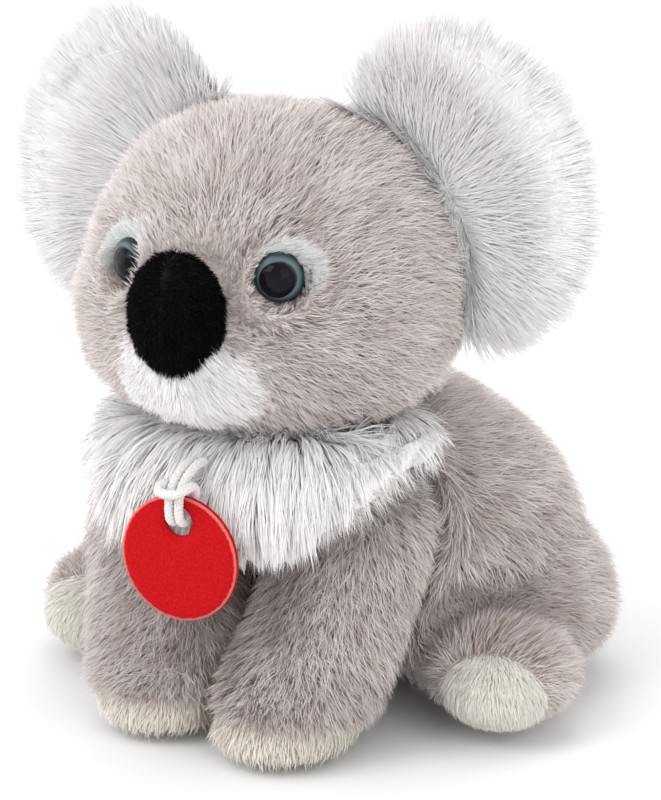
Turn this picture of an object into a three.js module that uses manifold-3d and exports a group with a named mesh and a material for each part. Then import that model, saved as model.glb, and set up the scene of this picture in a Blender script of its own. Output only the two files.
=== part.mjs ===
// A sitting plush koala, in millimetres, +Z up. It faces -Y and its own left side is +X.
// The origin is on the floor under the belly, where the stuffed body rests.
// Pile counts as part of each skin, so a skin is as thick as the cloth with its pile.

import * as THREE from "three";
import { mergeVertices } from "three/addons/utils/BufferGeometryUtils.js";
import Module from "manifold-3d";

const wasm = await Module();
wasm.setup();

// Driving dimensions

const gap = 0.3; // between pieces that touch
const room = 1.7; // round a form that moves past its neighbour
const overrun = 20; // how far a cutting shape runs past what it cuts

// Points round a form: on its outside, round a hind leg, on the inside, and on a shape that
// only makes room, then round an eye, its washer and half the tag
const around = { outer: 20, limb: 16, inner: 12, room: 12, eye: 20, washer: 16, tag: 16 };
const ringsShare = 0.6; // rings from pole to pole of a ball, of the points round it
const weld = 1e-4; // points that are nearer than this are one

const pile = { depth: 7.5, backing: 1.3 }; // plush cloth, and the woven backing in it

const body = { height: 90, halfWidth: 66, front: 44, back: 64, seamY: -22 };

const head = {
  bottom: 70,
  height: 82.5,
  centreY: -29,
  halfWidth: 48.5,
  front: 44,
  back: 43,
};
const snout = { z: 97, halfWidth: 30, halfHeight: 32, rise: 7 }; // the mound that carries the nose

const neck = { y: -26, z: 80, radius: 17, nod: 6, turnRoom: 2.2, clearance: 0.6 };

const muzzle = { z: 87, halfWidth: 20.5, halfHeight: 14, depth: 17 };
const nose = { z: 109, halfWidth: 13, halfHeight: 15.4, halfDepth: 9, sink: 1 };

const eye = {
  x: 21,
  z: 117,
  radius: 6.5,
  sink: 6.2,
  yaw: 24,
  rim: 1.3,
  domeHeight: 4,
  domeSteps: 4,
  shankRadius: 1.7,
  shankLength: 9,
  washerRadius: 6,
  washerThickness: 1.4,
};
const eyePatch = { across: 9.4, up: 8.8, deep: 9.6, outward: 2.2, raise: 3 };

const ear = {
  x: 44.8,
  y: -9,
  z: 131.5,
  halfWidth: 31.8,
  halfHeight: 38.5,
  tilt: 6,
  cup: 7,
  curl: 5,
  curlTurn: 130,
  frontDepth: 8,
  backDepth: 4.4,
  fold: 12,
};
// The line where an ear is sewn on, from its upper end to its lower one
const earRoot = { topX: 27, topZ: 150, bottomX: 49, bottomZ: 97 };

const foreleg = {
  height: 69,
  halfWidth: 21.5,
  halfDepth: 24,
  pawX: 17,
  pawY: -53,
  pawStep: 2.5,
  shoulderX: 27,
  shoulderY: -36,
  shoulderZ: 53,
  lift: 18,
  liftTurn: 37,
  openingRadius: 9,
};

const thigh = { x: 50, y: 14, z: 20, halfWidth: 23, halfDepth: 31, halfHeight: 21.5 };
const foot = {
  x: 55.8,
  y: -18,
  z: 13.6,
  halfWidth: 19.3,
  halfLength: 23,
  halfHeight: 14.2,
  splay: 16,
  step: 3,
  sway: 2.4,
};
const ankle = { radius: 14.5 }; // inside a hind leg, between its thigh and its foot
const hip = { x: 42, y: 15, z: 22, lift: 15, liftRoom: 1.2, openingRadius: 12 };
const pawSole = { halfWidth: 15, halfLength: 17, rise: 7.5, forward: 9 };
const footSole = { halfWidth: 19, halfHeight: 14.5, depth: 9 };

const bib = {
  bottom: 44,
  height: 37,
  halfWidth: 51,
  front: 71,
  back: 8,
  endY: -25,
  roundWidth: 47.5,
};

const tag = { radius: 15, thickness: 2, y: -76.4, z: 51.8, holeRadius: 3.6, holeDrop: 6.2 };
const cord = { diameter: 2.2, steps: 60, sides: 8 };

// Outlines, as shares of each form's own sizes

// Height, half width, front and back of the body
const bodyShares = [
  [0, 0.6, 0.32, 0.7],
  [0.04, 0.76, 0.55, 0.85],
  [0.12, 0.9, 0.74, 0.94],
  [0.26, 0.985, 0.88, 0.99],
  [0.41, 1, 0.95, 1],
  [0.54, 0.955, 1, 0.97],
  [0.65, 0.87, 1, 0.9],
  [0.75, 0.73, 0.98, 0.78],
  [0.84, 0.56, 0.93, 0.58],
  [0.92, 0.39, 0.86, 0.33],
  [0.975, 0.2, 0.72, 0.06],
];
const bodyPoleShare = -0.35; // where the top closes, of body.front

// Height, half width, front and back of the head
const headShares = [
  [0.015, 0.34, 0.42, 0.04],
  [0.06, 0.58, 0.62, 0.28],
  [0.12, 0.76, 0.79, 0.52],
  [0.215, 0.92, 0.93, 0.76],
  [0.335, 0.99, 1, 0.92],
  [0.455, 1, 0.99, 0.985],
  [0.575, 0.965, 0.94, 1],
  [0.695, 0.885, 0.84, 0.94],
  [0.815, 0.745, 0.68, 0.8],
  [0.91, 0.6, 0.48, 0.62],
  [0.97, 0.4, 0.28, 0.39],
];
const headPoleShares = [-0.2, 0.04]; // where the chin and the crown close, of head.front

// Height, half width, half depth and how far along from paw to shoulder, for a foreleg
const forelegShares = [
  [0, 0.66, 0.66, 0],
  [0.035, 0.87, 0.9, 0],
  [0.11, 0.97, 1, 0.02],
  [0.2, 0.98, 0.97, 0.14],
  [0.32, 0.97, 0.87, 0.36],
  [0.48, 0.93, 0.8, 0.62],
  [0.64, 0.92, 0.77, 0.84],
  [0.78, 0.89, 0.73, 0.97],
  [0.89, 0.74, 0.6, 1],
  [0.965, 0.45, 0.36, 1],
];

// Height, half width, front and back of the bib
const bibShares = [
  [0, 0.44, 0.86, 1],
  [0.1, 0.72, 0.95, 1],
  [0.28, 0.92, 1, 1],
  [0.5, 1, 0.995, 1],
  [0.7, 0.98, 0.96, 1],
  [0.87, 0.88, 0.89, 1],
  [1, 0.74, 0.8, 1],
];

// Distance from the ear's middle to each ring of points
const earRingShares = [0.3, 0.6, 0.85, 0.97];
const earRimShare = 0.3; // the layers' depth at the rim

// Finishes

const finish = (color, roughness, metalness = 0) =>
  new THREE.MeshStandardMaterial({ color, roughness, metalness });
const finishes = {
  greyPlush: finish(0xb9ada8, 0.95),
  whitePlush: finish(0xececec, 0.95),
  creamPlush: finish(0xe6e0d4, 0.95),
  blackPlush: finish(0x0b0b0c, 0.85),
  fibre: finish(0xf4f4f0, 1),
  iris: finish(0x4f7c88, 0.25),
  clear: finish(0x1c1720, 0.05),
  nylon: finish(0xd8d8d4, 0.5),
  felt: finish(0xd3161c, 0.9),
  cotton: finish(0xf2f0ee, 0.8),
};

// Solids

const X = new THREE.Vector3(1, 0, 0);
const Y = new THREE.Vector3(0, 1, 0);
const Z = new THREE.Vector3(0, 0, 1);
const degrees = THREE.MathUtils.degToRad;

/** The closed solid of a geometry. */
function solid(geometry) {
  const bare = geometry.clone();
  for (const name of Object.keys(bare.attributes)) {
    if (name !== "position") bare.deleteAttribute(name);
  }
  const merged = mergeVertices(bare, weld);
  return new wasm.Manifold(
    new wasm.Mesh({
      numProp: 3,
      vertProperties: new Float32Array(merged.attributes.position.array),
      triVerts: new Uint32Array(merged.index.array),
    }),
  );
}

const joined = (solids) => solids.reduce((all, one) => all.add(one));
const cut = (whole, ...tools) => tools.reduce((rest, tool) => rest.subtract(tool), whole);

/** A closed skin over rings of points, with a cap at each end, given from the bottom up. */
function skinOf(rings, bottom, top) {
  const count = rings[0].length;
  const points = [...rings.flat(), bottom, top];
  const faces = [];
  const at = (ring, step) => ring * count + (step % count);
  const last = rings.length - 1;
  for (let step = 0; step < count; step++) {
    for (let ring = 0; ring < last; ring++) {
      const [a, b] = [at(ring, step), at(ring, step + 1)];
      const [c, d] = [at(ring + 1, step), at(ring + 1, step + 1)];
      faces.push(a, b, d, a, d, c);
    }
    faces.push(points.length - 2, at(0, step + 1), at(0, step));
    faces.push(points.length - 1, at(last, step), at(last, step + 1));
  }
  const geometry = new THREE.BufferGeometry().setFromPoints(points);
  return geometry.setIndex(faces);
}

/** One level ring of an oval, round its centre. */
function oval(x, y, z, halfWidth, halfDepth, count) {
  return Array.from({ length: count }, (_, step) => {
    const turn = (2 * Math.PI * step) / count;
    return new THREE.Vector3(
      x + halfWidth * Math.cos(turn),
      y + halfDepth * Math.sin(turn),
      z,
    );
  });
}

/** A stuffed form of level ovals. `grow` moves its surface out, or in where it is negative. */
function stuffed(rows, bottomY, topY, low, high, grow, count) {
  const middle = (low + high) / 2;
  const stretch = 1 + (2 * grow) / (high - low);
  const lift = (z) => middle + (z - middle) * stretch;
  const rings = rows.map((row) =>
    oval(row.x, row.y, lift(row.z), row.halfWidth + grow, row.halfDepth + grow, count),
  );
  const end = (row, y, z) => new THREE.Vector3(row.x, y, lift(z));
  return skinOf(rings, end(rows[0], bottomY, low), end(rows.at(-1), topY, high));
}

/** An oval row from the extents of a form that is centred on x = 0. */
function frontBackRow(z, halfWidth, front, back) {
  return { x: 0, y: (back + front) / 2, z, halfWidth, halfDepth: (back - front) / 2 };
}

/** A ball drawn out to three half sizes, turned about its own upright axis. */
function ball(x, y, z, halfX, halfY, halfZ, turn = 0, count = around.room) {
  return new THREE.SphereGeometry(1, count, Math.round(count * ringsShare))
    .scale(halfX, halfZ, halfY)
    .rotateX(Math.PI / 2)
    .rotateZ(degrees(turn))
    .translate(x, y, z);
}

/** A block between two corners. */
function block(low, high) {
  const size = high.clone().sub(low);
  const middle = high.clone().add(low).multiplyScalar(0.5);
  return new THREE.BoxGeometry(size.x, size.y, size.z).translate(middle.x, middle.y, middle.z);
}

/** A copy of a geometry turned about an axis through a point. */
function turned(geometry, pivot, axis, angle) {
  return geometry
    .clone()
    .translate(-pivot.x, -pivot.y, -pivot.z)
    .applyMatrix4(new THREE.Matrix4().makeRotationAxis(axis, degrees(angle)))
    .translate(pivot.x, pivot.y, pivot.z);
}

/** The space that a form goes through as it turns from one angle to another. */
function path(geometries, pivot, axis, from, to, steps) {
  const solids = [];
  for (let step = 0; step <= steps; step++) {
    const angle = from + ((to - from) * step) / steps;
    for (const geometry of geometries) solids.push(solid(turned(geometry, pivot, axis, angle)));
  }
  return joined(solids);
}

const reach = body.height + head.height; // farther than any piece goes from the origin

/** The toy's own left and right, with the sign of X there. */
const sides = [
  ["left", 1],
  ["right", -1],
];

const group = new THREE.Group();

/** Adds a named piece. */
function piece(name, shape, material) {
  const { vertProperties, triVerts } = shape.getMesh();
  const geometry = new THREE.BufferGeometry();
  geometry.setAttribute("position", new THREE.BufferAttribute(vertProperties, 3));
  geometry.setIndex(new THREE.BufferAttribute(triVerts, 1));
  geometry.computeVertexNormals();
  const mesh = new THREE.Mesh(geometry, material);
  mesh.name = name;
  group.add(mesh);
}

// Outer forms

function bodyForm(grow, count) {
  const rows = bodyShares.map(([height, width, front, back]) =>
    frontBackRow(
      height * body.height,
      width * body.halfWidth,
      -front * body.front,
      back * body.back,
    ),
  );
  return stuffed(rows, 0, bodyPoleShare * body.front, 0, body.height, grow, count);
}

const headRows = headShares.map(([height, width, front, back]) =>
  frontBackRow(
    head.bottom + height * head.height,
    width * head.halfWidth,
    head.centreY - front * head.front,
    head.centreY + back * head.back,
  ),
);

/** How far the snout raises the face at a place on it. */
function snoutRise(x, z) {
  const across = Math.max(0, 1 - (x / snout.halfWidth) ** 2);
  const up = Math.max(0, 1 - ((z - snout.z) / snout.halfHeight) ** 2);
  return snout.rise * across ** 2 * up ** 2;
}

function headForm(grow, count) {
  const [chinY, crownY] = headPoleShares.map((share) => head.centreY + share * head.front);
  const top = head.bottom + head.height;
  const form = stuffed(headRows, chinY, crownY, head.bottom, top, grow, count);
  const places = form.attributes.position;
  for (let index = 0; index < places.count; index++) {
    const [x, y, z] = [places.getX(index), places.getY(index), places.getZ(index)];
    if (y < head.centreY) places.setY(index, y - snoutRise(x, z));
  }
  return form;
}

/** How far forward the head's surface is at a place on its face. */
function faceY(x, z) {
  const above = headRows.findIndex((row) => row.z >= z);
  const [low, high] = [headRows[above - 1], headRows[above]];
  const share = (z - low.z) / (high.z - low.z);
  const mix = (name) => low[name] + share * (high[name] - low[name]);
  const plain = mix("y") - mix("halfDepth") * Math.sqrt(1 - (x / mix("halfWidth")) ** 2);
  return plain - snoutRise(x, z);
}

/** The left paw stands a step ahead of the right one. */
const pawY = (side) => foreleg.pawY - side * foreleg.pawStep;

function forelegForm(side, grow, count) {
  const rows = forelegShares.map(([height, width, depth, along]) => ({
    x: side * THREE.MathUtils.lerp(foreleg.pawX, foreleg.shoulderX, along),
    y: THREE.MathUtils.lerp(pawY(side), foreleg.shoulderY, along),
    z: height * foreleg.height,
    halfWidth: width * foreleg.halfWidth,
    halfDepth: depth * foreleg.halfDepth,
  }));
  return stuffed(rows, pawY(side), foreleg.shoulderY, 0, foreleg.height, grow, count);
}

/** The block past the middle plane, which flattens a foreleg where it leans on the other one. */
function pastMiddle(side, grow) {
  const [near, far] = [side * (gap - grow), -side * reach];
  return solid(
    block(
      new THREE.Vector3(Math.min(near, far), -reach, -overrun),
      new THREE.Vector3(Math.max(near, far), reach, reach),
    ),
  );
}

/** A thigh, before its foot is joined on. */
function thighForm(side, grow, count) {
  const [wide, deep, high] = [thigh.halfWidth, thigh.halfDepth, thigh.halfHeight];
  return ball(side * thigh.x, thigh.y, thigh.z, wide + grow, deep + grow, high + grow, 0, count);
}

/** The feet are set down a little to the toy's left, the left one a step ahead. */
const footAt = (side) =>
  new THREE.Vector3(side * foot.x + foot.sway, foot.y - side * foot.step, foot.z);

function footForm(side, grow, count) {
  const { x, y, z } = footAt(side);
  const [wide, long, high] = [foot.halfWidth, foot.halfLength, foot.halfHeight];
  return ball(x, y, z, wide + grow, long + grow, high + grow, side * foot.splay, count);
}

/** The ball that joins a thigh to its foot. */
function ankleForm(side, grow, count) {
  const middle = new THREE.Vector3(side * thigh.x, thigh.y, thigh.z);
  const { x, y, z } = middle.add(footAt(side)).multiplyScalar(0.5);
  const radius = ankle.radius + grow;
  return ball(x, y, z, radius, radius, radius, 0, count);
}

/** The block under the floor, which cuts flat what stands on it. */
const ground = solid(
  block(new THREE.Vector3(-reach, -reach, -reach), new THREE.Vector3(reach, reach, 0)),
);

// Places and directions of the joints

const neckPivot = new THREE.Vector3(0, neck.y, neck.z);

/** Where a foreleg hinges, and the axis that lifts it forwards and outwards. */
function shoulderOf(side) {
  const pivot = new THREE.Vector3(side * foreleg.shoulderX, foreleg.shoulderY, foreleg.shoulderZ);
  const axis = X.clone().negate().applyAxisAngle(Z, side * degrees(foreleg.liftTurn));
  return { pivot, axis };
}

function hipOf(side) {
  return { pivot: new THREE.Vector3(side * hip.x, hip.y, hip.z), axis: X.clone().negate() };
}

/** The line that an ear folds about, along its seam. */
function earFoldOf(side) {
  const top = new THREE.Vector3(side * earRoot.topX, ear.y, earRoot.topZ);
  const bottom = new THREE.Vector3(side * earRoot.bottomX, ear.y, earRoot.bottomZ);
  return {
    pivot: top.clone().add(bottom).multiplyScalar(0.5),
    axis: top.clone().sub(bottom).normalize(),
  };
}

// Space that moving forms need

/** The head nodded both ways, with room round it for its turns. */
const headRoom = joined(
  [-neck.nod, neck.nod].map((nod) =>
    solid(turned(headForm(room + neck.turnRoom, around.room), neckPivot, X, nod)),
  ),
);
const neckBall = (grow) => {
  const radius = neck.radius + grow;
  return solid(ball(0, neck.y, neck.z, radius, radius, radius));
};
const neckRoom = neckBall(neck.clearance);

const forelegRooms = sides.map(([, side]) => {
  const { pivot, axis } = shoulderOf(side);
  return path([forelegForm(side, room, around.room)], pivot, axis, 0, foreleg.lift, 1);
});
const hindLegRooms = sides.map(([, side]) => {
  const { pivot, axis } = hipOf(side);
  const halfway = turned(thighForm(side, room + hip.liftRoom), pivot, axis, hip.lift / 2);
  return solid(halfway).add(path([footForm(side, room)], pivot, axis, 0, hip.lift, 1));
});
const limbRooms = joined([...forelegRooms, ...hindLegRooms]);

// Body

function makeBody() {
  const cloth = cut(solid(bodyForm(0, around.outer)), solid(bodyForm(-pile.depth, around.inner)));
  const bare = cut(cloth, headRoom, neckRoom, limbRooms);
  const ahead = solid(
    block(
      new THREE.Vector3(-reach, -reach, -overrun),
      new THREE.Vector3(reach, body.seamY, reach),
    ),
  );
  const behind = solid(
    block(
      new THREE.Vector3(-reach, body.seamY - gap, -overrun),
      new THREE.Vector3(reach, reach, reach),
    ),
  );
  piece("body_back_skin", cut(bare, ahead), finishes.greyPlush);
  piece("body_belly_skin", cut(bare, behind), finishes.greyPlush);
  const core = solid(bodyForm(-pile.depth - gap, around.inner));
  const filling = cut(core, headRoom, neckRoom, limbRooms);
  piece("body_stuffing", filling, finishes.fibre);
  piece("neck_stuffing", neckBall(0), finishes.fibre);
}

// Bib

/** The long-piled collar over the chest and the shoulders. */
function makeBib() {
  const rows = bibShares.map(([height, width, front, back]) =>
    frontBackRow(
      bib.bottom + height * bib.height,
      width * bib.halfWidth,
      -front * bib.front,
      back * bib.back,
    ),
  );
  const top = bib.bottom + bib.height;
  const whole = solid(stuffed(rows, rows[0].y, rows.at(-1).y, bib.bottom, top, 0, around.outer));
  const behind = solid(
    block(new THREE.Vector3(-reach, bib.endY, -overrun), new THREE.Vector3(reach, reach, reach)),
  );
  const chest = solid(bodyForm(gap, around.outer));
  const edge = solid(ball(0, 0, top, bib.roundWidth, reach, bib.height, 0, around.outer));
  const rounded = whole.intersect(edge);
  const shape = cut(rounded, behind, chest, headRoom, neckRoom, ...forelegRooms);
  piece("chest_bib", shape, finishes.whitePlush);
}

// Head

/** Where an eye is seated, as a matrix: its own Z axis points out of the face. */
function eyeSeat(side) {
  const outward = Y.clone().negate().applyAxisAngle(Z, side * degrees(eye.yaw));
  const seat = new THREE.Vector3(side * eye.x, faceY(eye.x, eye.z), eye.z);
  seat.addScaledVector(outward, -eye.sink);
  const across = new THREE.Vector3().crossVectors(Z, outward);
  return new THREE.Matrix4().makeBasis(across, Z, outward).setPosition(seat);
}

/** A turned shape round the eye's axis, from points of radius and height. */
function turnedOnEye(side, points, count) {
  const profile = points.map(([radius, height]) => new THREE.Vector2(radius, height));
  return solid(
    new THREE.LatheGeometry(profile, count).rotateX(Math.PI / 2).applyMatrix4(eyeSeat(side)),
  );
}

/** The pocket in the pile and the shank's hole, for one eye. */
function eyePocket(side) {
  const hole = eye.shankRadius + gap;
  const pocket = eye.radius + gap;
  return turnedOnEye(
    side,
    [
      [0, -eye.shankLength - gap],
      [hole, -eye.shankLength - gap],
      [hole, 0],
      [pocket, 0],
      [pocket, overrun],
      [0, overrun],
    ],
    around.eye,
  );
}

/** The height of the washer's inner face on the eye's axis. */
const washerLow = eye.washerThickness - eye.shankLength;

/** The room round the washer alone, which the cloth keeps clear of. */
function washerRoom(side) {
  const radius = eye.washerRadius + gap;
  const [low, high] = [washerLow - gap, washerLow + eye.washerThickness + gap];
  return turnedOnEye(
    side,
    [
      [0, low],
      [radius, low],
      [radius, high],
      [0, high],
    ],
    around.washer,
  );
}

/** The pocket in the filling round the washer. */
function washerPocket(side) {
  const radius = eye.washerRadius + gap;
  return turnedOnEye(
    side,
    [
      [0, -eye.shankLength - gap],
      [radius, -eye.shankLength - gap],
      [radius, 0],
      [0, 0],
    ],
    around.washer,
  );
}

function makeEye(name, side) {
  const base = gap;
  const top = base + eye.rim;
  const cup = [
    [0, -eye.shankLength],
    [eye.shankRadius, -eye.shankLength],
    [eye.shankRadius, base],
    [eye.radius, base],
    [eye.radius, top],
    [0, top],
  ];
  piece(`eye_cup_${name}`, turnedOnEye(side, cup, around.eye), finishes.iris);
  const dome = [[0, top + gap]];
  for (let step = 0; step < eye.domeSteps; step++) {
    const turn = (step / eye.domeSteps) * (Math.PI / 2);
    dome.push([eye.radius * Math.cos(turn), top + gap + eye.domeHeight * Math.sin(turn)]);
  }
  dome.push([0, top + gap + eye.domeHeight]);
  piece(`eye_dome_${name}`, turnedOnEye(side, dome, around.eye), finishes.clear);
  const washer = [
    [eye.shankRadius + gap, washerLow],
    [eye.shankRadius + gap, washerLow + eye.washerThickness],
    [eye.washerRadius, washerLow + eye.washerThickness],
    [eye.washerRadius, washerLow],
    [eye.shankRadius + gap, washerLow],
  ].reverse();
  piece(`eye_washer_${name}`, turnedOnEye(side, washer, around.washer), finishes.nylon);
}

const noseForm = (grow) =>
  ball(
    0,
    faceY(0, nose.z) + nose.sink,
    nose.z,
    nose.halfWidth + grow,
    nose.halfDepth + grow,
    nose.halfHeight + grow,
  );

/** The shape that marks out the white muzzle on the head's cloth. */
function muzzleForm(grow) {
  const [across, deep, high] = [muzzle.halfWidth, muzzle.depth, muzzle.halfHeight];
  return ball(0, faceY(0, muzzle.z), muzzle.z, across + grow, deep + grow, high + grow);
}

/** The shape that marks out the white patch beside an eye. */
function eyePatchForm(side, grow) {
  const x = eye.x + eyePatch.outward;
  const z = eye.z + eyePatch.raise;
  const [across, deep, high] = [eyePatch.across, eyePatch.deep, eyePatch.up];
  return ball(side * x, faceY(x, z), z, across + grow, deep + grow, high + grow);
}

function makeHead() {
  const inner = solid(headForm(-pile.depth, around.inner));
  const shell = cut(solid(headForm(0, around.outer)), inner, neckRoom);
  const backing = solid(headForm(pile.backing - pile.depth, around.inner));
  const noseSeat = solid(noseForm(gap)).subtract(backing);
  const pockets = sides.map(([, side]) => eyePocket(side));
  const washerRooms = sides.map(([, side]) => washerRoom(side));
  const cloth = cut(shell, noseSeat, ...pockets, ...washerRooms);
  const patchRooms = sides.map(([, side]) => solid(eyePatchForm(side, gap)));
  piece("head_skin", cut(cloth, solid(muzzleForm(gap)), ...patchRooms), finishes.greyPlush);
  piece("muzzle_patch", cloth.intersect(solid(muzzleForm(0))), finishes.whitePlush);
  for (const [name, side] of sides) {
    const patch = cloth.intersect(solid(eyePatchForm(side, 0)));
    piece(`eye_patch_${name}`, patch, finishes.whitePlush);
  }
  const noseSole = solid(headForm(pile.backing + gap - pile.depth, around.inner));
  piece("nose_pad", solid(noseForm(0)).subtract(noseSole), finishes.blackPlush);
  const filling = cut(
    solid(headForm(-pile.depth - gap, around.inner)),
    neckRoom,
    ...pockets,
    ...sides.map(([, side]) => washerPocket(side)),
  );
  piece("head_stuffing", filling, finishes.fibre);
  for (const [name, side] of sides) makeEye(name, side);
}

// Ears

/** One cupped layer of an ear, `depth` thick in front of the seam, or behind it where negative. */
function earLayer(side, depth) {
  const count = around.outer;
  const facing = Math.sign(depth);
  const [cosine, sine] = [Math.cos(degrees(ear.tilt)), Math.sin(degrees(ear.tilt))];
  const at = (share, turn, forward) => {
    const towardHead = Math.max(0, Math.cos(turn - degrees(ear.curlTurn)));
    const cupped = ear.cup * share ** 2 + ear.curl * towardHead * share ** 3;
    const out = ear.halfWidth * share * Math.cos(turn);
    const up = ear.halfHeight * share * Math.sin(turn);
    return new THREE.Vector3(
      side * (ear.x + out * cosine - up * sine),
      ear.y - cupped - forward,
      ear.z + out * sine + up * cosine,
    );
  };
  const bulge = (share) => THREE.MathUtils.lerp(earRimShare, 1, Math.sqrt(1 - share ** 2));
  const proud = (share) => depth * bulge(share);
  const seam = (facing * gap) / 2;
  const ring = (share, forward) => {
    const turns = Array.from({ length: count }, (_, step) => (2 * Math.PI * step) / count);
    const points = turns.map((turn) => at(share, turn, forward));
    return side > 0 ? points : points.reverse();
  };
  const seamRings = earRingShares.map((share) => ring(share, seam));
  const proudRings = earRingShares.map((share) => ring(share, proud(share)));
  const rim = ring(1, (seam + proud(1)) / 2);
  const [behind, ahead] = facing > 0 ? [seamRings, proudRings] : [proudRings, seamRings];
  const [last, first] = facing > 0 ? [proud(0), seam] : [seam, proud(0)];
  return solid(
    skinOf([...behind, rim, ...ahead.toReversed()], at(0, 0, first), at(0, 0, last)),
  );
}

function makeEars() {
  const form = headForm(gap, around.outer);
  for (const [name, side] of sides) {
    const { pivot, axis } = earFoldOf(side);
    const headAtFolds = path([form], pivot, axis, -ear.fold, ear.fold, 2);
    const front = cut(earLayer(side, ear.frontDepth), headAtFolds);
    const back = cut(earLayer(side, -ear.backDepth), headAtFolds);
    piece(`ear_${name}_front`, front, finishes.whitePlush);
    piece(`ear_${name}_back`, back, finishes.greyPlush);
  }
}

// Limbs

/** Adds a limb's pieces. `form` gives the limb, and `pad` what marks out its sole, both grown. */
function makeLimb(name, form, opening, pad, soleFinish) {
  const shell = cut(form(0), form(-pile.depth), opening);
  piece(`${name}_skin`, shell.subtract(solid(pad(gap))), finishes.greyPlush);
  piece(`${name}_sole`, shell.intersect(solid(pad(0))), soleFinish);
  piece(`${name}_stuffing`, form(-pile.depth - gap), finishes.fibre);
}

const roundOf = (grow, outer) => (grow < 0 ? around.inner : outer);

function makeForelegs() {
  for (const [name, side] of sides) {
    const form = (grow) =>
      solid(forelegForm(side, grow, roundOf(grow, around.outer))).subtract(pastMiddle(side, grow));
    const { pivot } = shoulderOf(side);
    const inward = pivot.clone().setZ(0).normalize().multiplyScalar(-foreleg.halfWidth);
    const radius = foreleg.openingRadius;
    const opening = ball(pivot.x + inward.x, pivot.y + inward.y, pivot.z, radius, radius, radius);
    const pad = (grow) =>
      ball(
        side * foreleg.pawX,
        pawY(side) - pawSole.forward,
        0,
        pawSole.halfWidth + grow,
        pawSole.halfLength + grow,
        pawSole.rise + grow,
      );
    makeLimb(`foreleg_${name}`, form, solid(opening), pad, finishes.creamPlush);
  }
}

function makeHindLegs() {
  for (const [name, side] of sides) {
    const form = (grow) => {
      const count = roundOf(grow, around.limb);
      const forms = [thighForm, ankleForm, footForm].map((make) => solid(make(side, grow, count)));
      return joined(forms).subtract(ground);
    };
    const radius = hip.openingRadius;
    const inward = side * (thigh.x - thigh.halfWidth);
    const opening = ball(inward, thigh.y, thigh.z, radius, radius, radius);
    const forward = Y.clone().negate().applyAxisAngle(Z, side * degrees(foot.splay));
    const end = footAt(side).addScaledVector(forward, foot.halfLength);
    const pad = (grow) =>
      ball(
        end.x,
        end.y,
        end.z,
        footSole.halfWidth + grow,
        footSole.depth + grow,
        footSole.halfHeight + grow,
        side * foot.splay,
      );
    makeLimb(`hindleg_${name}`, form, solid(opening), pad, finishes.whitePlush);
  }
}

// Tag

/** The cord's route from the neck seam through the hole, round the rim and across its own front. */
const cordRight = [
  [1.25, -66.6, 72.45],
  [1.25, -69.2, 72.6],
  [1.25, -72.4, 71.9],
  [1.25, -75.6, 70.4],
  [1.25, -78, 68.2],
  [1.25, -78.9, 65.6],
  [1.25, -78.9, 62.9],
  [1.25, -78.2, 61.2],
  [1.25, -76.4, 60.4],
  [1.3, -74.6, 61.2],
  [1.6, -73.9, 62.9],
  [2.6, -73.9, 65.4],
  [3.2, -74.4, 67.8],
  [3.5, -76.4, 69.2],
  [3.3, -79.4, 69.2],
  [2.4, -81.4, 68.6],
];
const cordMiddle = [0, -81.9, 68.4];

function makeTag() {
  const mirrored = cordRight.map(([x, y, z]) => [-x, y, z]).toReversed();
  const points = [...cordRight, cordMiddle, ...mirrored];
  const route = new THREE.CatmullRomCurve3(
    points.map(([x, y, z]) => new THREE.Vector3(x, y, z)),
    false,
    "centripetal",
  );
  const section = new THREE.Shape().absarc(0, 0, cord.diameter / 2, 0, 2 * Math.PI);
  const tube = new THREE.ExtrudeGeometry(section, {
    steps: cord.steps,
    curveSegments: cord.sides / 2,
    bevelEnabled: false,
    extrudePath: route,
  });
  piece("tag_cord", solid(tube), finishes.cotton);

  const face = new THREE.Shape().absarc(0, 0, tag.radius, 0, 2 * Math.PI);
  const holeZ = tag.radius - tag.holeDrop;
  face.holes.push(new THREE.Path().absarc(0, holeZ, tag.holeRadius, 0, 2 * Math.PI));
  const disc = new THREE.ExtrudeGeometry(face, {
    depth: tag.thickness,
    curveSegments: around.tag,
    bevelEnabled: false,
  });
  disc.translate(0, 0, -tag.thickness / 2).rotateX(Math.PI / 2).translate(0, tag.y, tag.z);
  piece("tag_disc", solid(disc), finishes.felt);
}

makeBody();
makeBib();
makeHead();
makeEars();
makeForelegs();
makeHindLegs();
makeTag();

export default group;
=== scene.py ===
"""The looks of a sitting plush koala, built round its CAD model. Blender 4.5, in metres.

Every stuffed form is taken from the CAD nodes that it stands for, smoothed and set back by the depth
of its pile. The pile itself is real strands, which a Geometry Nodes tree plants on those forms.
"""

import logging
import math
from dataclasses import dataclass
from enum import Enum
from functools import cache
from typing import Callable, Iterable

import bmesh
import bpy
import numpy as np
from mathutils import Matrix, Vector
from mathutils.bvhtree import BVHTree


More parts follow.
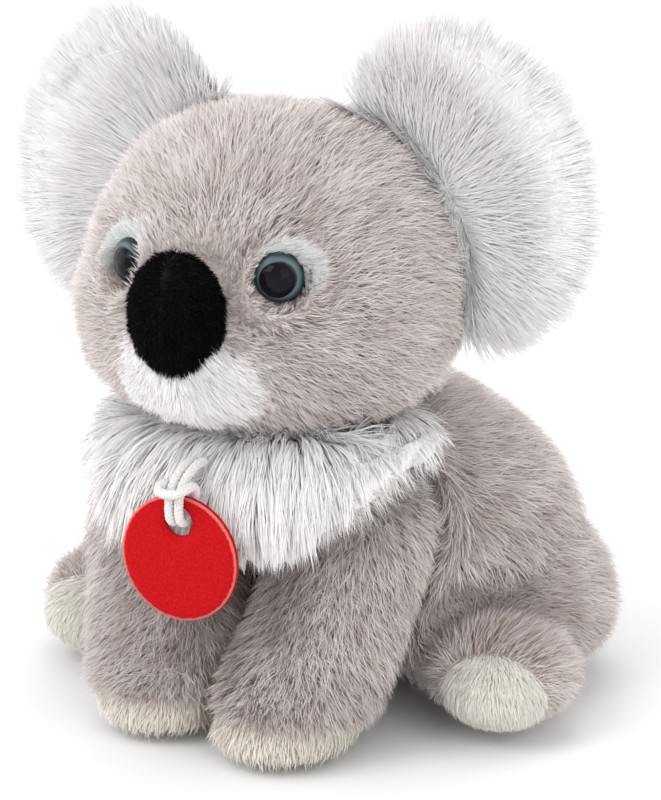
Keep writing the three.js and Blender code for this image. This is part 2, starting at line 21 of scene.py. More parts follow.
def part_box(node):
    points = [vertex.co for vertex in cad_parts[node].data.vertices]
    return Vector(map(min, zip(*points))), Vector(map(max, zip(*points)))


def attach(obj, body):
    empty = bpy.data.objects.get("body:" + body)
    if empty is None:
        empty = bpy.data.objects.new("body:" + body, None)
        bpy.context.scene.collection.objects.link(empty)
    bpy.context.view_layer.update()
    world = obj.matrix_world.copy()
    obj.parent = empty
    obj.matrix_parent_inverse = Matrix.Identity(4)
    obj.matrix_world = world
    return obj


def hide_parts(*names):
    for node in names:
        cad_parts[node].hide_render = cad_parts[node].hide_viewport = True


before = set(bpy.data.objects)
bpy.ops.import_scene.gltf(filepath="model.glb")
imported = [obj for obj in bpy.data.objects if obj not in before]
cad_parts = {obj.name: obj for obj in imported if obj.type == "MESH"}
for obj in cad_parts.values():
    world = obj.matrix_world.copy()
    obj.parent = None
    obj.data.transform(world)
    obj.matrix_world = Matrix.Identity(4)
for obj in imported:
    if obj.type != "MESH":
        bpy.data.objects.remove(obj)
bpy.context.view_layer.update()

log = logging.getLogger("koala")
MM = 0.001
SIDES = (("left", 1), ("right", -1))

Field = Callable[[np.ndarray, np.ndarray], np.ndarray]


def rgb(code: str) -> tuple[float, float, float, float]:
    """The linear colour of a six-digit sRGB code.

    Args:
        code: Six hexadecimal digits.

    Returns:
        Linear red, green and blue, and an alpha of 1.
    """
    shares = [int(code[i:i + 2], 16) / 255 for i in (0, 2, 4)]
    linear = [s / 12.92 if s <= 0.04045 else ((s + 0.055) / 1.055) ** 2.4 for s in shares]
    return (*linear, 1.0)


def unit(vectors: np.ndarray) -> np.ndarray:
    """Rows of vectors at a length of 1."""
    return vectors / np.maximum(np.linalg.norm(vectors, axis=-1, keepdims=True), 1e-9)


def smoothstep(low: float, high: float, values: np.ndarray) -> np.ndarray:
    """A smooth step from 0 at `low` to 1 at `high`."""
    share = np.clip((values - low) / (high - low), 0, 1)
    return share * share * (3 - 2 * share)


def norms(vectors: np.ndarray) -> np.ndarray:
    """The length of each row."""
    return np.linalg.norm(vectors, axis=1)


def box_of(node: str) -> tuple[np.ndarray, np.ndarray]:
    """The lowest and the highest corner of a CAD node."""
    low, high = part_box(node)
    return np.array(low), np.array(high)


def middle_of(node: str) -> tuple[np.ndarray, np.ndarray]:
    """The middle of a CAD node's box, and half its size."""
    low, high = box_of(node)
    return (low + high) / 2, (high - low) / 2


def round_turns(count: int) -> list[float]:
    """The angles of points spread evenly round a circle."""
    return [2 * math.pi * step / count for step in range(count)]


def placed(name: str, data: bpy.types.ID) -> bpy.types.Object:
    """Puts a mesh, a lamp or a camera in the scene as a new object.

    Args:
        name: The object's name.
        data: What it shows.

    Returns:
        The object, at the origin.
    """
    thing = bpy.data.objects.new(name, data)
    bpy.context.scene.collection.objects.link(thing)
    return thing


def write_places(mesh: bpy.types.Mesh, places: np.ndarray) -> None:
    """Moves a mesh's points to new places."""
    mesh.vertices.foreach_set("co", places.astype(np.float32).ravel())
    mesh.update()


def bridge(shape: bmesh.types.BMesh, one: list, other: list) -> None:
    """Joins two rings of points with faces, where either ring may be a single point.

    Args:
        shape: The mesh that they are in.
        one: The first ring.
        other: The other ring.
    """
    count = max(len(one), len(other))
    for step in range(count):
        after = (step + 1) % count
        there = (one[step % len(one)], one[after % len(one)])
        back = (other[after % len(other)], other[step % len(other)])
        shape.faces.new(list(dict.fromkeys((*there, *back))))


def written(shape: bmesh.types.BMesh, name: str, place: Matrix | None = None) -> bpy.types.Mesh:
    """Turns the faces of a closed shape outwards and writes it to a new mesh.

    Args:
        shape: The shape, which is freed.
        name: The mesh's name.
        place: Where it goes, unless it is already there.

    Returns:
        The mesh.
    """
    bmesh.ops.recalc_face_normals(shape, faces=shape.faces)
    if place is not None:
        shape.transform(place)
    mesh = bpy.data.meshes.new(name)
    shape.to_mesh(mesh)
    shape.free()
    return mesh


class Graph:
    """A node tree that is being written: short ways to add nodes and join them."""

    def __init__(self, tree: bpy.types.NodeTree) -> None:
        """Takes the tree to write to."""
        self.tree = tree

    def add(self, kind: str, inputs: dict | None = None, **settings: object) -> bpy.types.Node:
        """Adds a node.

        Args:
            kind: Blender's name of the node's type.
            inputs: Values or sockets for its inputs, by name or by number.
            settings: The node's own properties.

        Returns:
            The node.
        """
        node = self.tree.nodes.new(kind)
        for name, value in settings.items():
            setattr(node, name, value)
        self.fill(node, inputs or {})
        return node

    def fill(self, node: bpy.types.Node, inputs: dict) -> None:
        """Joins or sets some of a node's inputs, by name or by number."""
        for key, value in inputs.items():
            self.put(node.inputs[key], value)

    def put(self, socket: bpy.types.NodeSocket, value: object) -> None:
        """Joins a socket to an input, or sets the input's value.

        Args:
            socket: The input.
            value: A socket to join, or a plain value.
        """
        if isinstance(value, bpy.types.NodeSocket):
            self.tree.links.new(value, socket)
        else:
            socket.default_value = value

    def math(self, operation: str, *values: object) -> bpy.types.NodeSocket:
        """Adds a Math node, and gives its result."""
        inputs = dict(enumerate(values))
        return self.add("ShaderNodeMath", inputs, operation=operation).outputs[0]

    def vector(self, operation: str, *values: object) -> bpy.types.NodeSocket:
        """Adds a Vector Math node, and gives its number where it makes one, or its vector."""
        node = self.add("ShaderNodeVectorMath", dict(enumerate(values)), operation=operation)
        return node.outputs[1 if operation in ("DOT_PRODUCT", "LENGTH") else 0]

    def scaled(self, vector: object, share: object) -> bpy.types.NodeSocket:
        """Scales a vector."""
        inputs = {0: vector, "Scale": share}
        return self.add("ShaderNodeVectorMath", inputs, operation="SCALE").outputs[0]

    def total(self, *vectors: object) -> bpy.types.NodeSocket:
        """Adds vectors up.

        Args:
            vectors: Two or more vectors.

        Returns:
            Their sum.
        """
        result = vectors[0]
        for one in vectors[1:]:
            result = self.vector("ADD", result, one)
        return result

    def parts(self, vector: object) -> bpy.types.bpy_prop_collection:
        """Splits a vector into its three numbers."""
        return self.add("ShaderNodeSeparateXYZ", {0: vector}).outputs

    def joined(self, *numbers: object) -> bpy.types.NodeSocket:
        """Makes a vector of two or three numbers."""
        return self.add("ShaderNodeCombineXYZ", dict(enumerate(numbers))).outputs[0]

    def ramp(self, value: object, stops: Iterable[tuple[float, str]]) -> bpy.types.NodeSocket:
        """Adds a colour ramp.

        Args:
            value: Where on the ramp to read.
            stops: Places from 0 to 1, each with its sRGB code.

        Returns:
            The colour.
        """
        node = self.add("ShaderNodeValToRGB", {0: value})
        elements = node.color_ramp.elements
        for index, (place, code) in enumerate(stops):
            element = elements[index] if index < 2 else elements.new(place)
            element.position = place
            element.color = rgb(code)
        return node.outputs[0]

    def mix(self, share: object, one: object, other: object, how: str = "MIX") -> bpy.types.NodeSocket:
        """Mixes two colours."""
        inputs = {0: share, 6: one, 7: other}  # 6 and 7 are the node's two colours
        return self.add("ShaderNodeMix", inputs, data_type="RGBA", blend_type=how).outputs[2]

    def place(self) -> bpy.types.NodeSocket:
        """Reads a point's place in Object coordinates, which are the frame's own."""
        return self.add("ShaderNodeTexCoord").outputs["Object"]

    def noise(self, place: object, scale: object, detail: float) -> bpy.types.NodeSocket:
        """Adds a noise texture, and gives its value."""
        inputs = {"Vector": place, "Scale": scale, "Detail": detail}
        return self.add("ShaderNodeTexNoise", inputs).outputs["Fac"]

    def bump(self, height: object, strength: float, distance: float) -> bpy.types.NodeSocket:
        """Adds a bump, and gives its normal."""
        inputs = {"Height": height, "Strength": strength, "Distance": distance}
        return self.add("ShaderNodeBump", inputs).outputs[0]


def new_material(name: str) -> tuple[bpy.types.Material, Graph, bpy.types.Node]:
    """Makes an empty node material.

    Args:
        name: Its name.

    Returns:
        The material, its graph, and its Principled BSDF.
    """
    material = bpy.data.materials.new(name)
    material.use_nodes = True
    return material, Graph(material.node_tree), material.node_tree.nodes["Principled BSDF"]


@cache
def mottle_group() -> bpy.types.NodeTree:
    """The shared effect of cloth that is darker and paler in patches.

    Returns:
        A shader node group from Color, Scale and Amount to Color.
    """
    group = bpy.data.node_groups.new("mottle", "ShaderNodeTree")
    for name, kind in (("Color", "Color"), ("Scale", "Float"), ("Amount", "Float")):
        group.interface.new_socket(name, in_out="INPUT", socket_type="NodeSocket" + kind)
    group.interface.new_socket("Color", in_out="OUTPUT", socket_type="NodeSocketColor")
    graph = Graph(group)
    ins, outs = graph.add("NodeGroupInput"), graph.add("NodeGroupOutput")
    noise = graph.noise(graph.place(), ins.outputs["Scale"], 4.0)
    centred = graph.math("SUBTRACT", noise, 0.5)
    value = graph.math("MULTIPLY_ADD", centred, ins.outputs["Amount"], 1.0)
    inputs = {"Value": value, "Color": ins.outputs["Color"]}
    graph.put(outs.inputs[0], graph.add("ShaderNodeHueSaturation", inputs).outputs[0])
    return group


@dataclass(frozen=True)
class Pile:
    """Plush pile, coloured from the root of each strand to its tip, and from strand to strand.

    The strands' map gives the tone across and the way along the strand up. The darker roots are
    partly the fibre's own colour and partly painted shade from the depth of the pile.
    """

    name: str
    root: str
    middle: str
    tip: str
    dark: str
    pale: str
    roughness: float = 0.75
    sheen: float = 0.2
    specular: float = 0.2

    @cache
    def material(self) -> bpy.types.Material:
        """The strands' material.

        Returns:
            A material that reads only the strands' own map.
        """
        material, graph, shader = new_material(self.name)
        place = graph.add("ShaderNodeUVMap", uv_map=STRAND_MAP)
        across, up, _ = graph.parts(place.outputs[0])
        # root to tip: the darker root is partly the fibre's own colour and partly painted shade
        along = graph.ramp(up, ((0.0, self.root), (0.45, self.middle), (1.0, self.tip)))
        tone = graph.ramp(across, ((0.0, self.dark), (1.0, self.pale)))
        graph.fill(shader, {
            "Base Color": graph.mix(1.0, along, tone, "MULTIPLY"),
            "Roughness": self.roughness,
            "Specular IOR Level": self.specular,
            "Sheen Weight": self.sheen,
            "Sheen Roughness": 0.5,
        })
        return material


@dataclass(frozen=True)
class Backing:
    """The knitted cloth under the pile."""

    name: str
    colour: str
    amount: float = 0.35
    patches: float = 260.0
    knit: float = 2200.0

    @cache
    def material(self) -> bpy.types.Material:
        """The cloth's material.

        Returns:
            A material with patches and a fine knit in its bump.
        """
        material, graph, shader = new_material(self.name)
        inputs = {"Color": rgb(self.colour), "Scale": self.patches, "Amount": self.amount}
        mottle = graph.add("ShaderNodeGroup", inputs, node_tree=mottle_group())
        knit = graph.noise(graph.place(), self.knit, 3.0)
        graph.fill(shader, {
            "Base Color": mottle.outputs[0],
            "Normal": graph.bump(knit, 0.5, 0.4 * MM),
            "Roughness": 0.95,
        })
        return material


STRAND_MAP = "OFBake"  # across: the strand's tone; up: from its root to its tip
MAP_RIM = 0.02  # how far the strands' map keeps from its own edges

# Each pile's root colour is partly the fibre's own and partly painted shade from the pile's depth
GREY = Pile("grey_pile", "CAC0BD", "EAE2DF", "FFFDFC", "C9C0BE", "FFFFFF")
WHITE = Pile("white_pile", "F2F1F1", "F9F8F8", "FBFAFA", "F2F1F1", "FFFFFF", sheen=0.3)
PATCH = Pile("patch_pile", "D6D9D6", "E2E5E2", "EBEDEB", "E8E8E8", "FFFFFF", roughness=0.8)
CREAM = Pile("cream_pile", "DDD4C8", "F6F0E6", "FFFDF8", "D8D4CE", "FFFFFF")
SOLE = Pile("sole_pile", "E6E3DC", "F1EEE8", "F6F4EF", "EFECE7", "FFFFFF", sheen=0.3)
BLACK = Pile(
    "black_pile", "010101", "030303", "0B0A0B", "808080", "FFFFFF", roughness=0.7, sheen=0.0, specular=0.06
)
GREY_CLOTH = Backing("grey_cloth", "C8BEBA")
WHITE_CLOTH = Backing("white_cloth", "F4F3F2", amount=0.1)
BLACK_CLOTH = Backing("black_cloth", "060606", amount=0.3)


def finished(mesh: bpy.types.Mesh, name: str, material: bpy.types.Material) -> bpy.types.Object:
    """Puts a mesh in the scene as a smooth-shaded object.

    Args:
        mesh: The mesh, in its place.
        name: The piece's name.
        material: Its one material.

    Returns:
        The object, at the origin.
    """
    mesh.name = name
    mesh.materials.clear()
    mesh.materials.append(material)
    mesh.shade_smooth()
    return placed(name, mesh)


def filled_in(mesh: bpy.types.Mesh, share: np.ndarray, rounds: int) -> None:
    """Fills the hollows of a form by smoothing, as far as each point's share says.

    Args:
        mesh: The form.
        share: One share for each of its points.
        rounds: Rounds of smoothing.
    """
    before, normals = places_of(mesh), normals_of(mesh)
    relax(mesh, rounds, back=0.0)
    move = places_of(mesh) - before
    outward = ((move * normals).sum(1) > 0) * share
    write_places(mesh, before + move * outward[:, None])


def numbers_of(items: bpy.types.bpy_prop_collection, name: str, kind: type, width: int = 1) -> np.ndarray:
    """Reads one property of every point, edge, corner or face of a mesh.

    Args:
        items: The mesh's points, edges, corners or faces.
        name: The property.
        kind: The type of its numbers.
        width: How many numbers each item has.

    Returns:
        The numbers, item after item.
    """
    values = np.zeros(len(items) * width, kind)
    items.foreach_get(name, values)
    return values


def places_of(mesh: bpy.types.Mesh) -> np.ndarray:
    """The mesh's points, one row for each."""
    return numbers_of(mesh.vertices, "co", np.float32, 3).reshape(-1, 3).astype(float)


def normals_of(mesh: bpy.types.Mesh) -> np.ndarray:
    """The directions in which the mesh's points face, one row for each."""
    return numbers_of(mesh.vertex_normals, "vector", np.float32, 3).reshape(-1, 3).astype(float)


def relax(mesh: bpy.types.Mesh, rounds: int, back: float = 1.02) -> None:
    """Smooths a mesh.

    Args:
        mesh: The mesh to change.
        rounds: How often each point moves towards its neighbours and back.
        back: How much of each move it goes back, where 1.02 keeps the mesh's size.
    """
    strength = 0.5
    edges = numbers_of(mesh.edges, "vertices", np.int32, 2)
    one, other = edges.reshape(-1, 2).T
    places = places_of(mesh)
    count = np.bincount(edges, minlength=len(places)).astype(float)[:, None]
    for _ in range(rounds):
        for share in (strength, -strength * back) if back else (strength,):
            around = np.zeros_like(places)
            for axis in range(3):
                around[:, axis] += np.bincount(one, places[other, axis], len(places))
                around[:, axis] += np.bincount(other, places[one, axis], len(places))
            places += share * (around / count - places)
    write_places(mesh, places)


def largest_part(mesh: bpy.types.Mesh) -> None:
    """Removes all but the largest connected part of a mesh.

    Args:
        mesh: The mesh to change.
    """
    shape = bmesh.new()
    shape.from_mesh(mesh)
    left, parts = set(shape.verts), []
    while left:
        start = left.pop()
        part, edge = {start}, [start]
        while edge:
            vertex = edge.pop()
            for link in vertex.link_edges:
                near = link.other_vert(vertex)
                if near not in part:
                    part.add(near)
                    edge.append(near)
        left -= part
        parts.append(part)
    parts.sort(key=len)
    lost = [vertex for part in parts[:-1] for vertex in part]
    bmesh.ops.delete(shape, geom=lost, context="VERTS")
    shape.to_mesh(mesh)
    shape.free()


def evaluated(holder: bpy.types.Object) -> bpy.types.Mesh:
    """The mesh that an object's modifiers make of its own."""
    graph = bpy.context.evaluated_depsgraph_get()
    return bpy.data.meshes.new_from_object(holder.evaluated_get(graph))


def form_of(nodes: Iterable[str], voxel: float, inset: float | Field, rounds: int) -> bpy.types.Mesh:
    """The smooth outside of some CAD nodes, set back by the pile's depth.

    Args:
        nodes: The CAD nodes that it stands for.
        voxel: The size of its faces.
        inset: How far it lies inside them, as one depth or as a field.
        rounds: How much it is smoothed.

    Returns:
        One closed mesh.
    """
    shape = bmesh.new()
    for node in nodes:
        shape.from_mesh(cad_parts[node].data)
    bmesh.ops.remove_doubles(shape, verts=shape.verts, dist=1e-6)
    rough = bpy.data.meshes.new("rough")
    shape.to_mesh(rough)
    shape.free()
    holder = placed("holder", rough)
    remesh = holder.modifiers.new("remesh", "REMESH")
    remesh.mode = "VOXEL"
    remesh.voxel_size = voxel
    mesh = evaluated(holder)
    bpy.data.objects.remove(holder)
    bpy.data.meshes.remove(rough)
    largest_part(mesh)
    relax(mesh, rounds)
    places, normals = places_of(mesh), normals_of(mesh)
    depth = inset(places, normals)[:, None] if callable(inset) else inset
    write_places(mesh, places - depth * normals)
    relax(mesh, max(2, rounds // 3))
    return mesh


class Near:
    """Finds how near points lie to some CAD nodes."""

    def __init__(self, nodes: Iterable[str]) -> None:
        """Gathers the nodes' faces.

        Args:
            nodes: The CAD nodes.
        """
        self.trees = []
        for node in nodes:
            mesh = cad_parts[node].data
            corners = [tuple(vertex.co) for vertex in mesh.vertices]
            faces = [tuple(face.vertices) for face in mesh.polygons]
            self.trees.append(BVHTree.FromPolygons(corners, faces))

    def way(self, places: np.ndarray) -> np.ndarray:
        """The way from each point to the nearest face.

        Args:
            places: The points.

        Returns:
            One vector for each point.
        """
        ways = np.full(places.shape, 1.0)
        for tree in self.trees:
            found = np.array([tree.find_nearest(place)[0] for place in places]) - places
            nearer = norms(found) < norms(ways)
            ways[nearer] = found[nearer]
        return ways

    def away(self, places: np.ndarray) -> np.ndarray:
        """The distance from each point to the nearest face."""
        return norms(self.way(places))

    def close(self, low: float, high: float, places: np.ndarray) -> np.ndarray:
        """How near points are: 1 up to the low distance, and 0 from the high one on."""
        return 1 - smoothstep(low, high, self.away(places))


class Fur:
    """The Geometry Nodes tree that plants strands on a form, and its use."""

    INPUTS = {
        "Density": "Float",
        "Seed": "Int",
        "Steps": "Int",
        "Length": "Float",
        "Spread": "Float",
        "Width": "Float",
        "Roll": "Float",
        "Rise": "Float",
        "Lay": "Float",
        "Bend": "Float",
        "Droop": "Float",
        "Clump": "Float",
        "Pull": "Float",
        "Swirl": "Float",
        "Swirl Size": "Float",
        "Stray": "Float",
        "Tone Spread": "Float",
        "Material": "Material",
    }

    def __init__(self) -> None:
        """Builds the tree."""
        self.tree = bpy.data.node_groups.new("pile_strands", "GeometryNodeTree")
        face = self.tree.interface
        face.new_socket("Geometry", in_out="INPUT", socket_type="NodeSocketGeometry")
        for name, kind in self.INPUTS.items():
            face.new_socket(name, in_out="INPUT", socket_type="NodeSocket" + kind)
        face.new_socket("Geometry", in_out="OUTPUT", socket_type="NodeSocketGeometry")
        self.graph = Graph(self.tree)
        self.ins = self.graph.add("NodeGroupInput").outputs
        strands = self.shaped(self.planted())
        outs = self.graph.add("NodeGroupOutput")
        self.graph.put(outs.inputs[0], strands)

    def read(self, name: str, kind: str = "FLOAT") -> bpy.types.NodeSocket:
        """Reads a named attribute.

        Args:
            name: Its name.
            kind: Its data type.

        Returns:
            The attribute's field.
        """
        node = self.graph.add("GeometryNodeInputNamedAttribute", data_type=kind)
        node.inputs["Name"].default_value = name
        return node.outputs["Attribute"]

    def store(
        self,
        geometry: bpy.types.NodeSocket,
        name: str,
        value: bpy.types.NodeSocket,
        kind: str = "FLOAT",
        domain: str = "POINT",
    ) -> bpy.types.NodeSocket:
        """Stores a named attribute.

        Args:
            geometry: What to store it on.
            name: Its name.
            value: Its field.
            kind: Its data type.
            domain: Its domain.

        Returns:
            The geometry with the attribute.
        """
        inputs = {"Geometry": geometry, "Name": name, "Value": value}
        node_kind = "GeometryNodeStoreNamedAttribute"
        node = self.graph.add(node_kind, inputs, data_type=kind, domain=domain)
        return node.outputs["Geometry"]

    def random(self, low: float, high: float, seed: int) -> bpy.types.NodeSocket:
        """A random vector for each point.

        Args:
            low: The least that each of its numbers is.
            high: The most.
            seed: Tells the draws of one tree apart.

        Returns:
            The random field.
        """
        whole = self.graph.math("ADD", self.ins["Seed"], seed)
        inputs = {0: (low,) * 3, 1: (high,) * 3, "Seed": whole}
        return self.graph.add("FunctionNodeRandomValue", inputs, data_type="FLOAT_VECTOR").outputs[0]

    def planted(self) -> bpy.types.NodeSocket:
        """Scatters the roots, each with its own draws, and puts a plain strand on each.

        Returns:
            The strands as one mesh, not yet shaped.
        """
        graph = self.graph
        density = graph.math("MULTIPLY", self.ins["Density"], self.read("cover"))
        roots = graph.add(
            "GeometryNodeDistributePointsOnFaces",
            {"Mesh": self.ins["Geometry"], "Density": density, "Seed": self.ins["Seed"]},
            distribute_method="RANDOM",
        )
        points = roots.outputs["Points"]
        position = graph.add("GeometryNodeInputPosition").outputs[0]
        points = self.store(points, "fur_normal", roots.outputs["Normal"], "FLOAT_VECTOR")
        points = self.store(points, "fur_root", position, "FLOAT_VECTOR")
        draws = self.random(0.0, 1.0, seed=3)
        points = self.store(points, "fur_draws", draws, "FLOAT_VECTOR")
        strays = self.random(-1.0, 1.0, seed=7)
        points = self.store(points, "fur_stray", strays, "FLOAT_VECTOR")
        rows = graph.math("ADD", self.ins["Steps"], 1.0)
        sizes = {"Size X": 1.0, "Size Y": 1.0, "Vertices X": 2, "Vertices Y": rows}
        blade = graph.add("GeometryNodeMeshGrid", sizes)
        across, up, _ = graph.parts(position)
        along = graph.math("ADD", up, 0.5)
        narrow = graph.math("MULTIPLY", across, graph.math("LESS_THAN", along, 0.99))
        inputs = {"Geometry": blade.outputs["Mesh"], "Position": graph.joined(narrow, up)}
        pointed = graph.add("GeometryNodeSetPosition", inputs)
        merged = graph.add("GeometryNodeMergeByDistance", {"Geometry": pointed.outputs[0], "Distance": 0.01})
        strand = self.store(merged.outputs[0], "fur_across", across)
        strand = self.store(strand, "fur_along", along)
        copies = graph.add("GeometryNodeInstanceOnPoints", {"Points": points, "Instance": strand})
        return graph.add("GeometryNodeRealizeInstances", {"Geometry": copies.outputs[0]}).outputs[0]

    def lie(self, normal: bpy.types.NodeSocket, root: bpy.types.NodeSocket) -> bpy.types.NodeSocket:
        """The direction in which a strand is combed, with its swirl and its stray.

        Args:
            normal: The form's normal at the root.
            root: The root's place.

        Returns:
            A direction along the form.
        """
        graph = self.graph
        size = graph.math("DIVIDE", 1.0, self.ins["Swirl Size"])
        noise = graph.add("ShaderNodeTexNoise", {"Vector": root, "Scale": size, "Detail": 2.0})
        swirl = graph.vector("SUBTRACT", noise.outputs["Color"], (0.5, 0.5, 0.5))
        swirl = graph.scaled(swirl, graph.math("MULTIPLY", self.ins["Swirl"], 2.0))
        stray = graph.scaled(self.read("fur_stray", "FLOAT_VECTOR"), self.ins["Stray"])
        whole = graph.total(self.read("comb", "FLOAT_VECTOR"), swirl, stray)
        off = graph.scaled(normal, graph.vector("DOT_PRODUCT", whole, normal))
        return graph.vector("NORMALIZE", graph.vector("SUBTRACT", whole, off))

    def clumped(self, normal: bpy.types.NodeSocket, root: bpy.types.NodeSocket) -> bpy.types.NodeSocket:
        """The way from a root to the middle of its clump.

        Args:
            normal: The form's normal at the root.
            root: The root's place.

        Returns:
            A vector along the form.
        """
        graph = self.graph
        scale = graph.math("DIVIDE", 1.0, self.ins["Clump"])
        cells = graph.add("ShaderNodeTexVoronoi", {"Vector": root, "Scale": scale})
        way = graph.vector("SUBTRACT", cells.outputs["Position"], root)
        off = graph.scaled(normal, graph.vector("DOT_PRODUCT", way, normal))
        return graph.vector("SUBTRACT", way, off)

    def shaped(self, strands: bpy.types.NodeSocket) -> bpy.types.NodeSocket:
        """Bends every strand along its comb, narrows it to its tip, keeps it off the floor, and maps it.

        Args:
            strands: The plain strands.

        Returns:
            The finished strands.
        """
        graph, ins = self.graph, self.ins
        normal, root = self.read("fur_normal", "FLOAT_VECTOR"), self.read("fur_root", "FLOAT_VECTOR")
        along, across = self.read("fur_along"), self.read("fur_across")
        draws = graph.parts(self.read("fur_draws", "FLOAT_VECTOR"))
        spread = graph.math("MULTIPLY", graph.math("SUBTRACT", draws[0], 0.6), ins["Spread"])
        share = graph.math("MULTIPLY_ADD", spread, 2.0, 1.0)
        length = graph.math("MULTIPLY", graph.math("MULTIPLY", ins["Length"], self.read("reach")), share)
        squared = graph.math("MULTIPLY", along, along)
        lay = self.lie(normal, root)
        lift = graph.math("MULTIPLY", ins["Rise"], self.read("stand"))
        fallen = graph.math("MULTIPLY", squared, graph.math("MULTIPLY", ins["Bend"], lift))
        up = graph.math("SUBTRACT", graph.math("MULTIPLY", lift, along), fallen)
        out = graph.scaled(normal, graph.math("MULTIPLY", length, up))
        ahead = graph.math("MULTIPLY_ADD", squared, 0.2, graph.math("MULTIPLY", ins["Lay"], along))
        forward = graph.scaled(lay, graph.math("MULTIPLY", length, ahead))
        pull = graph.math("MULTIPLY", ins["Pull"], graph.math("POWER", along, 1.4))
        gathered = graph.scaled(self.clumped(normal, root), pull)
        fall = graph.math("MULTIPLY", graph.math("MULTIPLY", length, ins["Droop"]), squared)
        down = graph.scaled((0.0, 0.0, -1.0), fall)
        side = graph.vector("CROSS_PRODUCT", lay, normal)
        roll = graph.math("MULTIPLY", graph.math("SUBTRACT", draws[2], 0.5), ins["Roll"])
        flat = graph.scaled(side, graph.math("COSINE", roll))
        tipped = graph.scaled(normal, graph.math("SINE", roll))
        taper = graph.math("MULTIPLY_ADD", squared, -0.6, 1.0)
        wide = graph.math("MULTIPLY", graph.math("MULTIPLY", ins["Width"], taper), across)
        blade = graph.scaled(graph.vector("ADD", flat, tipped), wide)
        place = graph.total(root, out, forward, down, gathered, blade)
        x, y, z = graph.parts(place)
        least = graph.math("MULTIPLY_ADD", draws[1], 0.6 * MM, 0.2 * MM)
        place = graph.joined(x, y, graph.math("MAXIMUM", z, least))
        moved = graph.add("GeometryNodeSetPosition", {"Geometry": strands, "Position": place}).outputs[0]
        drawn = graph.math("MULTIPLY", graph.math("SUBTRACT", draws[1], 0.5), ins["Tone Spread"])
        toned = graph.math("ADD", self.read("tone"), drawn)
        tone = graph.add("ShaderNodeClamp", {0: toned, 1: MAP_RIM, 2: 1 - MAP_RIM})
        mapped_along = graph.math("MULTIPLY_ADD", along, 1 - 2 * MAP_RIM, MAP_RIM)
        map_place = graph.joined(tone.outputs[0], mapped_along)
        mapped = self.store(moved, STRAND_MAP, map_place, "FLOAT2", "CORNER")
        for name in ("fur_*", "comb", "cover", "reach", "stand", "tone"):
            bare = graph.add("GeometryNodeRemoveAttribute", {"Geometry": mapped})
            bare.pattern_mode = "WILDCARD" if name.endswith("*") else "EXACT"
            bare.inputs["Name"].default_value = name
            mapped = bare.outputs[0]
        inputs = {"Geometry": mapped, "Material": ins["Material"]}
        return graph.add("GeometryNodeSetMaterial", inputs).outputs[0]

    def plant(self, form: bpy.types.Mesh, name: str, pile: Pile, coat: "Coat") -> bpy.types.Object:
        """Plants one coat of strands on a form.

        Args:
            form: The form, whose shape isn't changed.
            name: The new piece's name.
            pile: Its finish.
            coat: Its sizes and fields.

        Returns:
            The strands as one piece.
        """
        ground = form.copy()
        coat.mark(ground)
        holder = placed("holder", ground)
        modifier = holder.modifiers.new("pile", "NODES")
        modifier.node_group = self.tree
        values = coat.values() | {"Material": pile.material()}
        for item in self.tree.interface.items_tree:
            if item.in_out == "INPUT" and item.name in values:
                modifier[item.identifier] = values[item.name]
        mesh = evaluated(holder)
        bpy.data.objects.remove(holder)
        bpy.data.meshes.remove(ground)
        strand_map = mesh.attributes.get(STRAND_MAP)
        if not len(mesh.polygons) or strand_map is None or strand_map.data_type != "FLOAT2":
            raise ValueError(f"{name} has no strands, or they have no map")
        log.info("%s: %d strand faces", name, len(mesh.polygons))
        return finished(mesh, name, pile.material())


@dataclass
class Coat:
    """One coat of pile: its sizes, and how it lies over its form."""

    length: float
    strands: int
    comb: Field
    cover: Field
    seed: int
    reach: Field | None = None
    stand: Field | None = None
    tone: Field | None = None
    steps: int = 2
    spread: float = 0.35
    width: float = 0.235 * MM
    roll: float = 2.0
    rise: float = 0.6
    lay: float = 0.7
    bend: float = 0.4
    droop: float = 0.0
    clump: float = 3.5 * MM
    pull: float = 0.5
    swirl: float = 0.5
    swirl_size: float = 14 * MM
    stray: float = 0.35
    tone_spread: float = 0.6
    density: float = 0.0

    def mark(self, mesh: bpy.types.Mesh) -> None:
        """Writes the coat's fields on the form, and works out its density.

        Args:
            mesh: The form's copy.
        """
        places, normals = places_of(mesh), normals_of(mesh)
        cover = np.clip(self.cover(places, normals), 0, 1)
        fields = {"cover": cover}
        for name, usual in (("reach", 1.0), ("stand", 1.0), ("tone", 0.5)):
            made = getattr(self, name)
            fields[name] = made(places, normals) if made else np.full(len(places), usual)
        for name, values in fields.items():
            attribute = mesh.attributes.new(name, "FLOAT", "POINT")
            attribute.data.foreach_set("value", values.astype(np.float32))
        comb = self.comb(places, normals)
        comb = unit(comb - (comb * normals).sum(1, keepdims=True) * normals)
        attribute = mesh.attributes.new("comb", "FLOAT_VECTOR", "POINT")
        attribute.data.foreach_set("vector", comb.astype(np.float32).ravel())
        corners = numbers_of(mesh.loops, "vertex_index", np.int32)
        areas = numbers_of(mesh.polygons, "area", np.float32)
        totals = numbers_of(mesh.polygons, "loop_total", np.int32)
        starts = np.concatenate(([0], np.cumsum(totals)[:-1]))
        shares = np.add.reduceat(cover[corners], starts) / totals
        self.density = self.strands / max(float((areas * shares).sum()), 1e-9)

    def values(self) -> dict[str, object]:
        """The tree's inputs for this coat, by name."""
        names = (name for name, kind in Fur.INPUTS.items() if kind != "Material")
        return {name: getattr(self, name.lower().replace(" ", "_")) for name in names}


fur = Fur()
PLUSH = {"lay": 0.42, "bend": 0.35, "swirl_size": 8 * MM, "stray": 0.55}  # the grey pile's lie

TRUNK = ("body_back_skin", "body_belly_skin")
HIND_INSETS = {"left": 3.4 * MM, "right": 2.0 * MM}  # the right leg looks fuller in the photograph
HIND_SKINS = tuple(f"hindleg_{name}_skin" for name, _ in SIDES)


def everywhere(places: np.ndarray, normals: np.ndarray) -> np.ndarray:
    """Full cover."""
    return np.ones(len(places))


